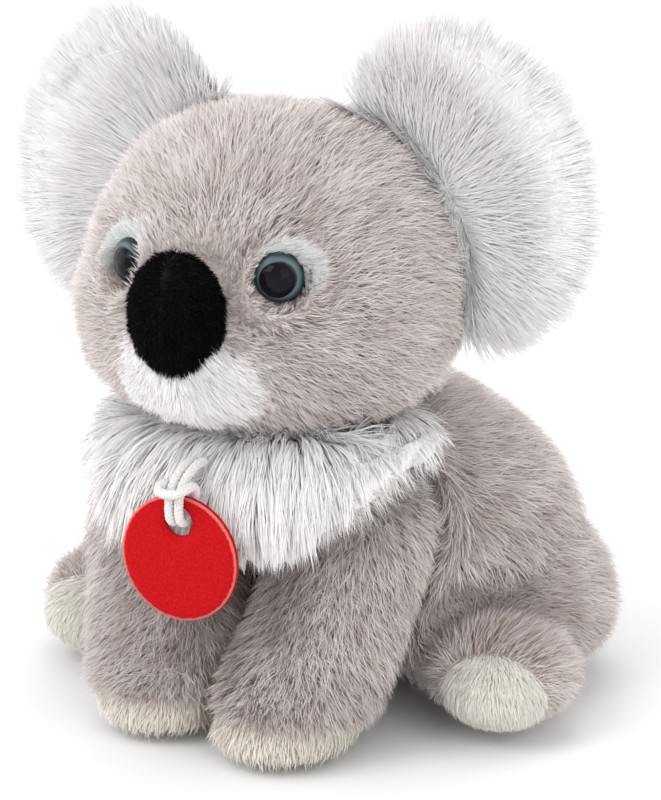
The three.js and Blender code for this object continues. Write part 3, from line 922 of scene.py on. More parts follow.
def noise_of(places: np.ndarray, size: float, seed: int) -> np.ndarray:
    """A soft random field made of a few crossed waves.

    Args:
        places: Where to read it.
        size: The length of its waves.
        seed: Which field.

    Returns:
        Values from about -1 to 1.
    """
    draws = np.random.default_rng(seed)
    total = np.zeros(len(places))
    for _ in range(6):
        direction = unit(draws.normal(size=(1, 3)))[0]
        wave = size * draws.uniform(0.7, 1.5)
        total += np.sin(places @ direction * 2 * math.pi / wave + draws.uniform(0, 6.3))
    return total / 2.4


def sideways(places: np.ndarray, share: float) -> np.ndarray:
    """A lean of that share away from the toy's middle."""
    return np.sign(places[:, :1]) * np.array((share, 0.0, 0.0))


def at_rear(places: np.ndarray) -> np.ndarray:
    """How far points lie behind the middle, where the pile hides the creases of the hind legs."""
    return smoothstep(-30 * MM, 0.0, places[:, 1])


@dataclass
class Piece:
    """What every sub-assembly shares: a body to ride on."""

    body: str

    def keep(
        self,
        piece: bpy.types.Object,
        slot: str,
        replaces: Iterable[str] = (),
        fill: float | None = None,
    ) -> None:
        """Gives a finished piece its body, and hides the CAD nodes that it stands for.

        Args:
            piece: The piece.
            slot: Not used.
            replaces: The CAD nodes that it stands for.
            fill: Not used.
        """
        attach(piece, self.body)
        if replaces:
            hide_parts(*replaces)
        log.info("made %s", piece.name)

    def coats(
        self,
        form: bpy.types.Mesh,
        name: str,
        pile: Pile,
        slot: str,
        coat: Coat,
        count: int = 1,
    ) -> None:
        """Plants one or more coats that differ only in their draws.

        Args:
            form: The form.
            name: The pieces' name, without their numbers.
            pile: Their finish.
            slot: The record's material slot.
            coat: Their sizes and fields.
            count: How many.
        """
        seed = coat.seed
        for number in range(1, count + 1):
            coat.seed = seed + 31 * number
            label = f"{name}_{number}" if count > 1 else name
            self.keep(fur.plant(form, label, pile, coat), slot)


@dataclass
class Seat:
    """Where an eye is seated: the middle of its dome's flat side, and the way out of the face."""

    centre: np.ndarray
    out: np.ndarray

    @classmethod
    def of(cls, name: str, side: int, yaw: float) -> "Seat":
        """Finds the seat of one eye from its CAD dome.

        Args:
            name: left or right.
            side: The sign of X there.
            yaw: How far the eye looks sideways, in degrees.

        Returns:
            The seat.
        """
        turn = math.radians(yaw) * side
        out = np.array((math.sin(turn), -math.cos(turn), 0.0))
        places = places_of(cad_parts[f"eye_dome_{name}"].data)
        heights = places @ out
        base = places[heights < heights.min() + 0.2 * MM]
        centre = (base.min(0) + base.max(0)) / 2
        return cls(centre, out)

    def away(self, places: np.ndarray) -> np.ndarray:
        """The distance of points from the eye's axis."""
        way = places - self.centre
        return norms(way - np.outer(way @ self.out, self.out))


@dataclass
class Head(Piece):
    """The head: its form, its grey pile, the white of the muzzle and eyes, and the nose."""

    body: str = "head"
    inset: float = 4.2 * MM
    pile_length: float = 7.6 * MM
    short_inset: float = 1.2 * MM
    muzzle_length: float = 4.6 * MM
    muzzle_half: tuple[float, float, float] = (20 * MM, 17 * MM, 12.2 * MM)
    muzzle_raise: float = 2.3 * MM
    patch_length: float = 3.4 * MM
    patch_half: tuple[float, float, float] = (7.8 * MM, 8.0 * MM, 7.3 * MM)
    patch_out: float = 1.9 * MM
    patch_out_right: float = 0.3
    patch_raise: float = 2.5 * MM
    seat_depth: float = 4.2 * MM
    nose_depth: float = 4.0 * MM
    nose_inset: float = 1.3 * MM
    nose_length: float = 2.4 * MM
    eye_yaw: float = 24.0
    eye_face: float = 4.3 * MM
    eye_bare: float = 5.6 * MM
    eye_short: float = 12 * MM
    eye_flat: tuple[float, float] = (8 * MM, 13 * MM)
    eye_sunk: tuple[float, float] = (5.2 * MM, 6.8 * MM)
    bridge_back: float = 12 * MM
    bridge_down: float = 2 * MM
    face_end: tuple[float, float] = (30 * MM, 75 * MM)

    def __post_init__(self) -> None:
        """Reads the places of the face from the CAD nodes."""
        self.seats = {name: Seat.of(name, side, self.eye_yaw) for name, side in SIDES}
        self.nose_low, self.nose_high = box_of("nose_pad")
        self.nose = (self.nose_low + self.nose_high) / 2
        self.muzzle_low, self.muzzle_high = box_of("muzzle_patch")
        self.patches = []
        for name, side in SIDES:
            seat = self.seats[name]
            out = self.patch_out * (1.0 if side > 0 else self.patch_out_right)
            aside = np.array((side * out, 0.0, self.patch_raise))
            self.patches.append(seat.centre + self.eye_face * seat.out + aside)

    def nose_share(self, places: np.ndarray) -> np.ndarray:
        """How far points lie from the nose's middle, seen from the front: 1 at its outline."""
        way = (places - self.nose) / ((self.nose_high - self.nose_low) / 2)
        return np.hypot(way[:, 0], way[:, 2]) + 10 * (places[:, 1] > self.nose_high[1] + 0.01)

    def eye_distance(self, places: np.ndarray) -> np.ndarray:
        """The distance of points from the nearer eye's axis, in front of the face only."""
        near = np.minimum(*(seat.away(places) for seat in self.seats.values()))
        return np.where(places[:, 1] < self.nose_high[1] + 0.03, near, 1.0)

    def muzzle(self, places: np.ndarray) -> np.ndarray:
        """How white the muzzle is at points.

        Args:
            places: The points.

        Returns:
            Shares from 0 to 1.
        """
        middle = (self.muzzle_low + self.muzzle_high) / 2
        middle[1] = self.muzzle_low[1] + self.short_inset
        middle[2] += self.muzzle_raise
        way = norms((places - middle) / np.array(self.muzzle_half))
        return 1 - smoothstep(0.85, 1.15, way + 0.08 * noise_of(places, 5 * MM, 12))

    def patch(self, places: np.ndarray) -> np.ndarray:
        """How white the patches beside the eyes are at points."""
        ways = [norms((places - middle) / np.array(self.patch_half)) for middle in self.patches]
        return 1 - smoothstep(0.8, 1.15, np.minimum(*ways))

    def depth(self, places: np.ndarray, normals: np.ndarray) -> np.ndarray:
        """How deep the cloth lies under the tips: less where the pile is short.

        Args:
            places: The points.
            normals: Their normals.

        Returns:
            Depths.
        """
        away = self.eye_distance(places)
        eyes = 1 - smoothstep(*self.eye_flat, away)
        short = np.maximum(np.maximum(self.muzzle(places), self.patch(places)), eyes)
        depth = self.inset + (self.short_inset - self.inset) * short
        depth += self.seat_depth * (1 - smoothstep(*self.eye_sunk, away))
        return depth + self.nose_depth * (1 - smoothstep(0.8, 1.0, self.nose_share(places)))

    def bare(self, places: np.ndarray) -> np.ndarray:
        """Where pile may grow: not under the nose, and not under the eyes."""
        off_nose = smoothstep(0.66, 0.76, self.nose_share(places))
        return off_nose * (self.eye_distance(places) > self.eye_bare)

    def comb(self, places: np.ndarray, normals: np.ndarray) -> np.ndarray:
        """The face's pile lies away from the bridge of the nose, and falls at the back.

        Args:
            places: The points.
            normals: Their normals.

        Returns:
            Directions.
        """
        middle = (0.0, self.nose_low[1] + self.bridge_back, self.nose[2] - self.bridge_down)
        away = unit(places - np.array(middle))
        start, end = (self.nose_low[1] + depth for depth in self.face_end)
        back = smoothstep(start, end, places[:, 1])
        down = np.array((0.0, 0.0, -1.0))
        return away + sideways(places, 0.25) + back[:, None] * down * 0.9

    def reach(self, places: np.ndarray, normals: np.ndarray) -> np.ndarray:
        """The pile is short by the eyes and the nose, and long on the cheeks and the crown.

        Args:
            places: The points.
            normals: Their normals.

        Returns:
            Shares of the coat's length.
        """
        eyes = 0.25 + 0.75 * smoothstep(self.eye_bare + 1 * MM, self.eye_short, self.eye_distance(places))
        nose = 0.4 + 0.6 * smoothstep(0.9, 1.9, self.nose_share(places))
        chin = 1 - 0.35 * smoothstep(0.3, 0.8, -normals[:, 2])
        return np.minimum(eyes, nose) * chin * (1 + 0.12 * noise_of(places, 22 * MM, 5))

    def tone(self, places: np.ndarray, normals: np.ndarray) -> np.ndarray:
        """The pile is paler by the nose and darker in soft patches."""
        near = 1 - smoothstep(1.0, 1.8, self.nose_share(places))
        return 0.5 + 0.22 * near + 0.1 * noise_of(places, 12 * MM, 8)

    def make(self) -> None:
        """Makes every piece of the head."""
        nodes = ["head_skin", "head_stuffing", "muzzle_patch", "eye_patch_left", "eye_patch_right"]
        seated = ["nose_pad", "eye_cup_left", "eye_cup_right", "eye_dome_left", "eye_dome_right"]
        form = form_of(nodes + seated, voxel=1.5 * MM, inset=self.depth, rounds=14)
        cloth = finished(form.copy(), "head_cloth", GREY_CLOTH.material())
        self.keep(cloth, "grey_plush", nodes, fill=0.9)
        grey = Coat(
            length=self.pile_length,
            strands=44_000,
            comb=self.comb,
            cover=lambda p, n: self.bare(p) * (1 - self.muzzle(p)) * (1 - self.patch(p)),
            seed=11,
            reach=self.reach,
            tone=self.tone,
            rise=0.92,
            clump=2.3 * MM,
            pull=0.7,
            swirl=0.7,
            **PLUSH,
        )
        self.coats(form, "head_pile", GREY, "grey_plush", grey, count=3)
        white = Coat(
            length=self.muzzle_length,
            strands=10_000,
            comb=self.comb,
            cover=lambda p, n: self.bare(p) * self.muzzle(p),
            seed=301,
            rise=0.5,
            lay=0.7,
            roll=1.0,
            clump=3 * MM,
            stray=0.3,
            tone_spread=0.4,
        )
        self.coats(form, "muzzle_pile", WHITE, "white_plush", white)
        patch = Coat(
            length=self.patch_length,
            strands=5_000,
            comb=self.comb,
            cover=lambda p, n: self.bare(p) * self.patch(p),
            seed=351,
            rise=0.6,
            lay=0.6,
            roll=0.8,
            clump=2 * MM,
            pull=0.3,
        )
        self.coats(form, "eye_patch_pile", PATCH, "white_plush", patch)
        self.make_nose()
        for name, side in SIDES:
            Eye(self.body, name, side, self.seats[name]).make()

    def nose_comb(self, places: np.ndarray, normals: np.ndarray) -> np.ndarray:
        """The nose's pile lies outwards and down."""
        return unit(places - self.nose) * np.array((1.0, 0.2, 0.6)) + np.array((0.0, 0.0, -0.5))

    def make_nose(self) -> None:
        """Makes the nose pad with its short black pile."""
        form = form_of(["nose_pad"], voxel=0.8 * MM, inset=self.nose_inset, rounds=10)
        pad = finished(form.copy(), "nose_cloth", BLACK_CLOTH.material())
        self.keep(pad, "black_plush", ["nose_pad"], fill=0.95)
        coat = Coat(
            length=self.nose_length,
            strands=13_000,
            comb=self.nose_comb,
            cover=everywhere,
            seed=401,
            width=0.2 * MM,
            rise=0.75,
            lay=0.5,
            clump=1.2 * MM,
            pull=0.25,
            swirl=0.6,
        )
        self.coats(form, "nose_pile", BLACK, "black_plush", coat)


@dataclass
class Eye(Piece):
    """One eye: the painted cup and its clear dome, turned round the eye's axis."""

    name: str
    side: int
    seat: Seat
    radius: float = 6.1 * MM
    pupil: float = 4.4 * MM
    inward: float = 0.45 * MM
    lower: float = 0.3 * MM
    height: float = 4.0 * MM
    cup_back: float = -1.6 * MM
    cup_low: float = -0.3 * MM
    dome_lift: float = 1.15 * MM
    steps: int = 64

    def turned(self, profile: list[tuple[float, float]], inward: float = 0.0) -> bpy.types.Mesh:
        """Turns a profile round the eye's axis, or round a line beside it.

        Args:
            profile: Radius and height of each point, from the back to the front.
            inward: How far that line lies towards the nose.

        Returns:
            The closed mesh, in its place.
        """
        out = Vector(self.seat.out)
        across = Vector((0, 0, 1)).cross(out).normalized()
        base = Matrix((across, Vector((0, 0, 1)), out)).transposed().to_4x4()
        down = Vector((0, 0, -self.lower if inward else 0.0))
        base.translation = Vector(self.seat.centre) - self.side * inward * across + down
        shape = bmesh.new()
        rings = []
        for radius, height in profile:
            if radius < 1e-7:
                rings.append([shape.verts.new((0, 0, height))])
                continue
            turns = round_turns(self.steps)
            ring = ((radius * math.cos(t), radius * math.sin(t), height) for t in turns)
            rings.append([shape.verts.new(corner) for corner in ring])
        for one, other in zip(rings, rings[1:]):
            bridge(shape, one, other)
        return written(shape, "eye", base)

    @staticmethod
    def arc(half: float, height: float, low: float, count: int) -> list[tuple[float, float]]:
        """A quarter of an oval, from its side to its top.

        Args:
            half: The oval's half width.
            height: Its height.
            low: Where it stands.
            count: How many steps it has.

        Returns:
            Radius and height of each point.
        """
        turns = [math.pi / 2 * step / count for step in range(count + 1)]
        points = [(half * math.cos(t), low + height * math.sin(t)) for t in turns]
        return points[:-1] + [(0.0, low + height)]

    def painted(self) -> bpy.types.Material:
        """The cup's paint by distance from the axis: the pupil, the blue-green ring and a dark edge. The
        ring's paler band by the pupil is partly a painted highlight, and the dark edge is partly painted
        shade.

        Returns:
            The material.
        """
        material, graph, shader = new_material(f"painted_eye_{self.name}")
        place = graph.place()
        way = graph.vector("SUBTRACT", place, tuple(float(v) for v in self.seat.centre))
        out = tuple(float(v) for v in self.seat.out)
        off = graph.scaled(out, graph.vector("DOT_PRODUCT", way, out))
        distance = graph.vector("LENGTH", graph.vector("SUBTRACT", way, off))
        share = graph.math("DIVIDE", distance, self.radius)
        grain = graph.math("SUBTRACT", graph.noise(place, 900.0, 3.0), 0.5)
        share = graph.math("MULTIPLY_ADD", grain, 0.04, share)
        edge = (self.pupil - self.inward) / self.radius
        stops = (
            (0.0, "060507"),
            (edge - 0.04, "0A080C"),
            (edge, "3C4E55"),
            # paler band by the pupil: partly the iris's own paint, partly a painted highlight
            (edge + 0.05, "566B72"),
            (edge + 0.14, "445A5F"),
            (0.86, "283A3A"),
            # near-black edge: partly the ring's own dark rim, partly painted shade where the pile meets the
            # eye
            (0.95, "0B1011"),
        )
        colour = graph.ramp(share, stops)
        graph.fill(shader, {"Base Color": colour, "Roughness": 0.22, "Specular IOR Level": 0.25})
        return material

    def make(self) -> None:
        """Makes the cup with its painted front, and the clear dome over the pupil."""
        back, low = self.cup_back, self.cup_low
        cup = [(0.0, back), (self.radius * 0.94, back), (self.radius, back + 0.35 * MM)]
        cup += [(self.radius, low), (self.radius * 0.985, low + 0.5 * MM)]
        cup += self.arc(self.radius * 0.96, self.height * 0.62, low + 0.8 * MM, 14)
        piece = finished(self.turned(cup), f"eye_cup_{self.name}_painted", self.painted())
        self.keep(piece, "painted_eye", [f"eye_cup_{self.name}"])
        lens_low = low + self.dome_lift
        lens = [(0.0, lens_low), (self.pupil * 1.02, lens_low)]
        lens += self.arc(self.pupil * 1.04, self.height - lens_low, lens_low, 18)
        piece = finished(self.turned(lens, self.inward), f"eye_dome_{self.name}_clear", self.clear())
        self.keep(piece, "clear_plastic", [f"eye_dome_{self.name}"])

    @staticmethod
    @cache
    def clear() -> bpy.types.Material:
        """The dome's dark glossy plastic, with faint smoky depth.

        Returns:
            The material.
        """
        material, graph, shader = new_material("eye_gloss")
        smoke = graph.noise(graph.place(), 240.0, 2.0)
        colour = graph.ramp(smoke, ((0.3, "060508"), (0.7, "17121B")))
        graph.fill(shader, {"Base Color": colour, "Roughness": 0.06, "Specular IOR Level": 0.12})
        return material


@dataclass
class Ear(Piece):
    """One ear: its form, long white pile and a tuft in front, and short grey pile behind."""

    name: str = "left"
    side: int = 1
    inset: float = 1.5 * MM
    drawn_in: float = 0.89
    drawn_low: float = 0.08
    corner_raise: float = 0.4 * MM
    white_length: float = 12 * MM
    root_length: float = 10 * MM
    grey_length: float = 7 * MM
    white_width: float = 0.28 * MM
    root_in: float = 10 * MM
    root_down: float = 12 * MM
    front_depth: tuple[float, float] = (4 * MM, 2 * MM)
    head_centre: tuple[float, float] = (2 * MM, 109 * MM)
    head_edge: tuple[float, float] = (50 * MM, 64 * MM)

    def __post_init__(self) -> None:
        """Reads the ear's place from its CAD nodes."""
        low, high = box_of(f"ear_{self.name}_front")
        self.middle, self.half = (low + high) / 2, (high - low) / 2
        inner = low[0] if self.side > 0 else high[0]
        across = inner + self.side * self.root_in
        self.root = np.array((across, self.middle[1], self.middle[2] - self.root_down))

    def comb(self, places: np.ndarray, normals: np.ndarray) -> np.ndarray:
        """The pile lies outwards from the ear's root at the head."""
        return unit(places - self.root) + np.array((0.0, 0.0, -0.12))

    def off_rim(self, places: np.ndarray, normals: np.ndarray) -> np.ndarray:
        """How much pile grows: less on the rim itself, which the pile beside it hides."""
        outward = (unit(places - self.root) * normals).sum(1)
        return 1 - 0.8 * smoothstep(0.62, 0.85, outward)

    def by_head(self, places: np.ndarray) -> np.ndarray:
        """How near points are to the head, where a fuller tuft hides the seam."""
        centre = np.array((self.side * self.head_centre[0], self.head_centre[1]))
        return 1 - smoothstep(*self.head_edge, norms(places[:, ::2] - centre))

    def inner_rim(self, places: np.ndarray, normals: np.ndarray) -> np.ndarray:
        """How near points are to the upper rim by the head, where the back's grey comes round.

        Args:
            places: The points.
            normals: Their normals.

        Returns:
            Shares from 0 to 1.
        """
        inward = -self.side * normals[:, 0] * 0.8 + 0.6 * normals[:, 2]
        high = smoothstep(self.root[2] + 10 * MM, self.root[2] + 24 * MM, places[:, 2])
        return smoothstep(0.2, 0.75, inward) * high

    def in_front(self, places: np.ndarray, normals: np.ndarray) -> np.ndarray:
        """How far points belong to the ear's white front.

        Args:
            places: The points.
            normals: Their normals.

        Returns:
            Shares from 0 to 1.
        """
        faces = smoothstep(-0.3, 0.1, -normals[:, 1] - 0.9 * self.inner_rim(places, normals))
        back, front = (self.middle[1] + depth for depth in self.front_depth)
        return faces * smoothstep(back, front, places[:, 1])

    def reach(self, places: np.ndarray, normals: np.ndarray) -> np.ndarray:
        """The pile is shorter at the root and at the rim, and least at the upper rim by the head.

        Args:
            places: The points.
            normals: Their normals.

        Returns:
            Shares of the coat's length.
        """
        away = self.from_root(places)
        reach = 0.8 + 0.2 * smoothstep(4 * MM, 20 * MM, away) - 0.1 * smoothstep(46 * MM, 56 * MM, away)
        out = self.side * (places[:, 0] - self.middle[0])
        cut = 0.45 * smoothstep(-20 * MM, -28 * MM, out)
        rim = 0.2 * (1 - self.off_rim(places, normals))
        return reach * (1 - (cut - 0.08 * (1 - cut)) * self.corner(places)) * (1 - rim)

    def corner(self, places: np.ndarray) -> np.ndarray:
        """How near points are to the ear's top on the head's side, where the pile is longest.

        Args:
            places: The points.

        Returns:
            Shares from 0 to 1.
        """
        top = self.middle[2] + 0.35 * self.half[2]
        high = smoothstep(top, top + 12 * MM, places[:, 2])
        return high * smoothstep(8 * MM, -2 * MM, self.side * (places[:, 0] - self.middle[0]))

    def stand(self, places: np.ndarray, normals: np.ndarray) -> np.ndarray:
        """The pile stands up by the head and lies down towards the rim."""
        return 1.3 - 0.6 * smoothstep(4 * MM, 34 * MM, self.from_root(places))

    def from_root(self, places: np.ndarray) -> np.ndarray:
        """The distance of points from the ear's root, seen from the front."""
        return norms((places - self.root)[:, ::2])

    def make(self) -> None:
        """Makes the ear's form and its three coats."""
        nodes = [f"ear_{self.name}_front", f"ear_{self.name}_back"]
        form = form_of(nodes, voxel=0.9 * MM, inset=self.inset, rounds=12)
        places = places_of(form)
        away = places - self.root
        drawn = np.full_like(away, self.drawn_in)
        drawn[:, 1] = 1.0
        drawn[:, 2] -= self.drawn_low * smoothstep(10 * MM, -10 * MM, away[:, 2])
        places = self.root + away * drawn
        places[:, 2] += self.corner_raise * self.corner(places)
        write_places(form, places)
        cloth = finished(form.copy(), f"ear_{self.name}_cloth", WHITE_CLOTH.material())
        self.keep(cloth, "white_plush", nodes, fill=0.4)
        white = Coat(
            length=self.white_length,
            strands=29_000,
            comb=self.comb,
            cover=lambda p, n: self.in_front(p, n) * self.off_rim(p, n),
            seed=501 + self.side,
            steps=3,
            reach=self.reach,
            stand=self.stand,
            width=self.white_width,
            roll=0.9,
            rise=0.4,
            lay=0.85,
            bend=0.6,
            clump=5 * MM,
            pull=0.6,
            swirl=0.35,
            stray=0.22,
            tone=lambda p, n: 0.6 + 0.12 * noise_of(p, 16 * MM, 3),
        )
        self.coats(form, f"ear_{self.name}_white_pile", WHITE, "white_plush", white)
        tuft = Coat(
            length=self.root_length,
            strands=5_000,
            comb=self.comb,
            cover=lambda p, n: self.by_head(p) * smoothstep(0.3, 0.6, -n[:, 1]) * self.in_front(p, n),
            seed=521 + self.side,
            rise=0.6,
            lay=0.8,
            bend=0.3,
            width=self.white_width,
            roll=1.2,
            clump=4 * MM,
            stray=0.3,
        )
        self.coats(form, f"ear_{self.name}_root_pile", WHITE, "white_plush", tuft)
        grey = Coat(
            length=self.grey_length,
            strands=12_000,
            comb=self.comb,
            cover=lambda p, n: (1 - self.in_front(p, n)) * self.off_rim(p, n),
            seed=551 + self.side,
            reach=self.reach,
            rise=0.5,
            lay=0.75,
        )
        self.coats(form, f"ear_{self.name}_grey_pile", GREY, "grey_plush", grey)


@dataclass(kw_only=True)
class Body(Piece):
    """The stuffed body with its grey pile, and the soft neck."""

    bib: "Bib"
    body: str = "body"
    voxel: float = 2.0 * MM
    inset: float = 4.2 * MM
    pile_length: float = 8.6 * MM

    def __post_init__(self) -> None:
        """Gathers the legs, whose creases the pile hides."""
        self.legs = Near(f"{leg}_{name}_skin" for leg in ("foreleg", "hindleg") for name, _ in SIDES)
        self.hind, self.trunk = Near(HIND_SKINS), Near(TRUNK)

    def comb(self, places: np.ndarray, normals: np.ndarray) -> np.ndarray:
        """The pile lies backwards and falls, and leans into the creases by the legs."""
        back = np.array((0.0, 0.55, -0.8)) + sideways(places, 0.15)
        return back + self.crease(places)[:, None] * unit(self.legs.way(places))

    def crease(self, places: np.ndarray) -> np.ndarray:
        """How near points are to the creases between body and legs."""
        return self.legs.close(5 * MM, 13 * MM, places)

    def shown(self, places: np.ndarray, normals: np.ndarray) -> np.ndarray:
        """Where the grey pile grows: not under the body, on the hind legs or behind the bib.

        Args:
            places: The points.
            normals: Their normals.

        Returns:
            Shares from 0 to 1.
        """
        above = 1 - 0.96 * smoothstep(0.5, 0.8, -normals[:, 2])
        off_leg = smoothstep(-1 * MM, 1 * MM, self.hind.away(places) - self.trunk.away(places))
        return above * off_leg * (1 - self.bib.holds(places))

    def nape(self, places: np.ndarray) -> np.ndarray:
        """How near points are to the neck, where longer pile meets the head's."""
        out = norms((places - self.bib.neck)[:, :2])
        return (1 - smoothstep(24 * MM, 38 * MM, out)) * smoothstep(55 * MM, 66 * MM, places[:, 2])

    def reach(self, places: np.ndarray, normals: np.ndarray) -> np.ndarray:
        """The pile is short by the floor, and longer over the creases and round the neck."""
        length = 0.45 + 0.55 * smoothstep(2 * MM, 16 * MM, places[:, 2])
        return length * (1 + 0.3 * self.crease(places) + 0.5 * self.nape(places))

    def make(self) -> None:
        """Makes the body's form and coats, and the neck."""
        nodes = ["body_back_skin", "body_belly_skin", "body_stuffing"]
        form = form_of([*nodes, "chest_bib"], voxel=self.voxel, inset=self.inset, rounds=12)
        relax(form, rounds=30, back=0.0)
        cloth = finished(form.copy(), "body_cloth", GREY_CLOTH.material())
        self.keep(cloth, "grey_plush", nodes, fill=0.8)
        coat = Coat(
            length=self.pile_length,
            strands=40_000,
            comb=self.comb,
            cover=self.shown,
            seed=601,
            reach=self.reach,
            stand=lambda p, n: 1 - 0.35 * self.crease(p) + 0.3 * self.nape(p),
            tone=lambda p, n: 0.45 + 0.16 * noise_of(p, 14 * MM, 21),
            rise=0.9,
            clump=2.6 * MM,
            pull=0.6,
            swirl=0.75,
            **PLUSH,
        )
        ground = form_of([*nodes, "chest_bib", *HIND_SKINS], self.voxel, self.inset, rounds=12)
        relax(ground, rounds=20, back=0.0)
        places = places_of(ground)
        share = self.hind.close(10 * MM, 20 * MM, places) * at_rear(places)
        filled_in(ground, share, rounds=60)
        self.coats(ground, "body_pile", GREY, "grey_plush", coat, count=2)
        neck = form_of(["neck_stuffing"], voxel=1.6 * MM, inset=0.4 * MM, rounds=6)
        plug = finished(neck, "neck_cloth", WHITE_CLOTH.material())
        Piece("neck").keep(plug, "polyester_fibre", ["neck_stuffing"], fill=0.7)


@dataclass
class Bib(Piece):
    """The long white pile over the chest and the shoulders."""

    body: str = "body"
    inset: float = 1.8 * MM
    pile_length: float = 18 * MM
    past_hem: float = 1 * MM
    crest_radius: float = 39 * MM
    crest_slope: float = 0.4
    under_chin: float = 1.8 * MM
    tuft_half: float = 8 * MM
    tuft_raise: float = 2.4 * MM
    crest_across: tuple[float, ...] = (0.0, 5 * MM, 12 * MM, 27 * MM, 37.5 * MM, 40 * MM)
    crest_up: tuple[float, ...] = (70.5 * MM, 70.9 * MM, 73.2 * MM, 74.6 * MM, 78 * MM, 81 * MM)
    edge_across: tuple[float, ...] = (15 * MM, 22 * MM, 30 * MM, 40 * MM)
    edge_up: tuple[float, ...] = (1 * MM, 3.5 * MM, 8 * MM, 8.5 * MM)

    def __post_init__(self) -> None:
        """Reads the bib's place from its CAD node."""
        self.low, self.high = box_of("chest_bib")
        self.back = float(self.high[1])
        self.neck, _ = middle_of("neck_stuffing")
        self.head_middle, self.head_half = middle_of("head_skin")
        places = places_of(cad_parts["chest_bib"].data)
        self.hem_across = np.linspace(self.low[0], self.high[0], 25)
        spacing = self.hem_across[1] - self.hem_across[0]
        near = [np.abs(places[:, 0] - x) < 2 * spacing for x in self.hem_across]
        self.hem_up = np.array([places[one, 2].min() for one in near])
        self.hem_up += np.interp(np.abs(self.hem_across), self.edge_across, self.edge_up)

    def comb(self, places: np.ndarray, normals: np.ndarray) -> np.ndarray:
        """The pile fans out and down from the neck.

        Args:
            places: The points.
            normals: Their normals.

        Returns:
            Directions.
        """
        outward = (places - self.neck) * np.array((1.0, 1.0, 0.0))
        past_crest = smoothstep(30 * MM, 42 * MM, norms(outward))
        fan = unit(outward) * (1 - 0.65 * past_crest)[:, None]
        fan[:, 2] -= past_crest
        return fan

    def filled(self, mesh: bpy.types.Mesh) -> None:
        """Raises the hollow behind the crest up to the chin, as the pile's stiff roots do.

        Args:
            mesh: The form that the pile grows on.
        """
        places, normals = places_of(mesh), normals_of(mesh)
        inside = 1 - (((places - self.head_middle) / self.head_half)[:, :2] ** 2).sum(1)
        chin = self.head_middle[2] - self.head_half[2] * np.sqrt(np.maximum(inside, 0)) - self.under_chin
        out = norms((places - self.neck)[:, :2])
        crest = np.interp(np.abs(places[:, 0]), self.crest_across, self.crest_up)
        tuft = np.exp(-(places[:, 0] / self.tuft_half) ** 2)
        tuft *= smoothstep(0, 3 * MM, self.crest_radius - 2 * MM - out)
        level = crest + self.crest_slope * (self.crest_radius - out) + self.tuft_raise * tuft
        level = np.minimum(chin, level)
        hollow = (out < self.crest_radius) & (places[:, 1] < self.back + 2 * MM) & (normals[:, 2] > -0.3)
        hollow &= places[:, 2] > self.low[2] + 8 * MM
        places[:, 2] = np.where(hollow, np.maximum(places[:, 2], level), places[:, 2])
        write_places(mesh, places)
        relax(mesh, rounds=6, back=0.0)

    def holds(self, places: np.ndarray) -> np.ndarray:
        """How far points belong to the bib and to the white round the front of the neck."""
        hem = self.hem(places)
        return smoothstep(hem + 2 * MM, hem + 6 * MM, places[:, 2]) * self.within(places)

    def hem(self, places: np.ndarray) -> np.ndarray:
        """How high the bib's hem lies at each point's place across."""
        return np.interp(places[:, 0], self.hem_across, self.hem_up)

    def within(self, places: np.ndarray) -> np.ndarray:
        """How far points lie in front of the bib's back end."""
        return 1 - smoothstep(self.back - 3 * MM, self.back + 1 * MM, places[:, 1])

    def shown(self, places: np.ndarray, normals: np.ndarray) -> np.ndarray:
        """Where the pile grows: in front, on the crest, and in the hollow up to the neck.

        Args:
            places: The points.
            normals: Their normals.

        Returns:
            Shares from 0 to 1.
        """
        below_chin = 1 - smoothstep(self.high[2] + 4 * MM, self.high[2] + 7 * MM, places[:, 2])
        hem = self.hem(places) + 4 * MM * self.aside(places)
        return smoothstep(hem, hem + 3 * MM, places[:, 2]) * self.within(places) * below_chin

    def by_tag(self, places: np.ndarray) -> np.ndarray:
        """How near points are to the tag and its cord, which press the pile flat."""
        beside = smoothstep(12 * MM, 22 * MM, np.abs(places[:, 0]))
        return (1 - beside) * smoothstep(-10 * MM, 4 * MM, places[:, 2] - box_of("tag_disc")[0][2])

    def reach(self, places: np.ndarray, normals: np.ndarray) -> np.ndarray:
        """The pile is long below the neck, and shorter on top, at its hem and behind the tag.

        Args:
            places: The points.
            normals: Their normals.

        Returns:
            Shares of the coat's length.
        """
        room = (places[:, 2] - self.hem(places) + self.past_hem) / 1.3
        least = (0.12 + 0.28 * self.aside(places)) * self.pile_length
        room = np.clip(room, least, self.pile_length)
        top = 1 - 0.2 * smoothstep(0.3, 0.85, normals[:, 2])
        aside = 1 - 0.2 * smoothstep(26 * MM, 42 * MM, np.abs(places[:, 0]))
        out = norms((places - self.neck)[:, :2])
        ahead = 0.2 + 0.25 * smoothstep(self.crest_radius - 11 * MM, self.crest_radius - 3 * MM, out)
        return room / self.pile_length * top * aside * (1 - ahead * self.by_tag(places))

    def stand(self, places: np.ndarray, normals: np.ndarray) -> np.ndarray:
        """The pile stands up more on the crest, and behind the tag, which lies on it."""
        below = 1 - smoothstep(66 * MM, 71 * MM, places[:, 2])
        return 1 + 0.3 * smoothstep(0.15, 0.6, normals[:, 2]) + 1.5 * self.by_tag(places) * below

    def aside(self, places: np.ndarray) -> np.ndarray:
        """How near points are to the bib's ends over the shoulders."""
        return smoothstep(18 * MM, 32 * MM, np.abs(places[:, 0]))

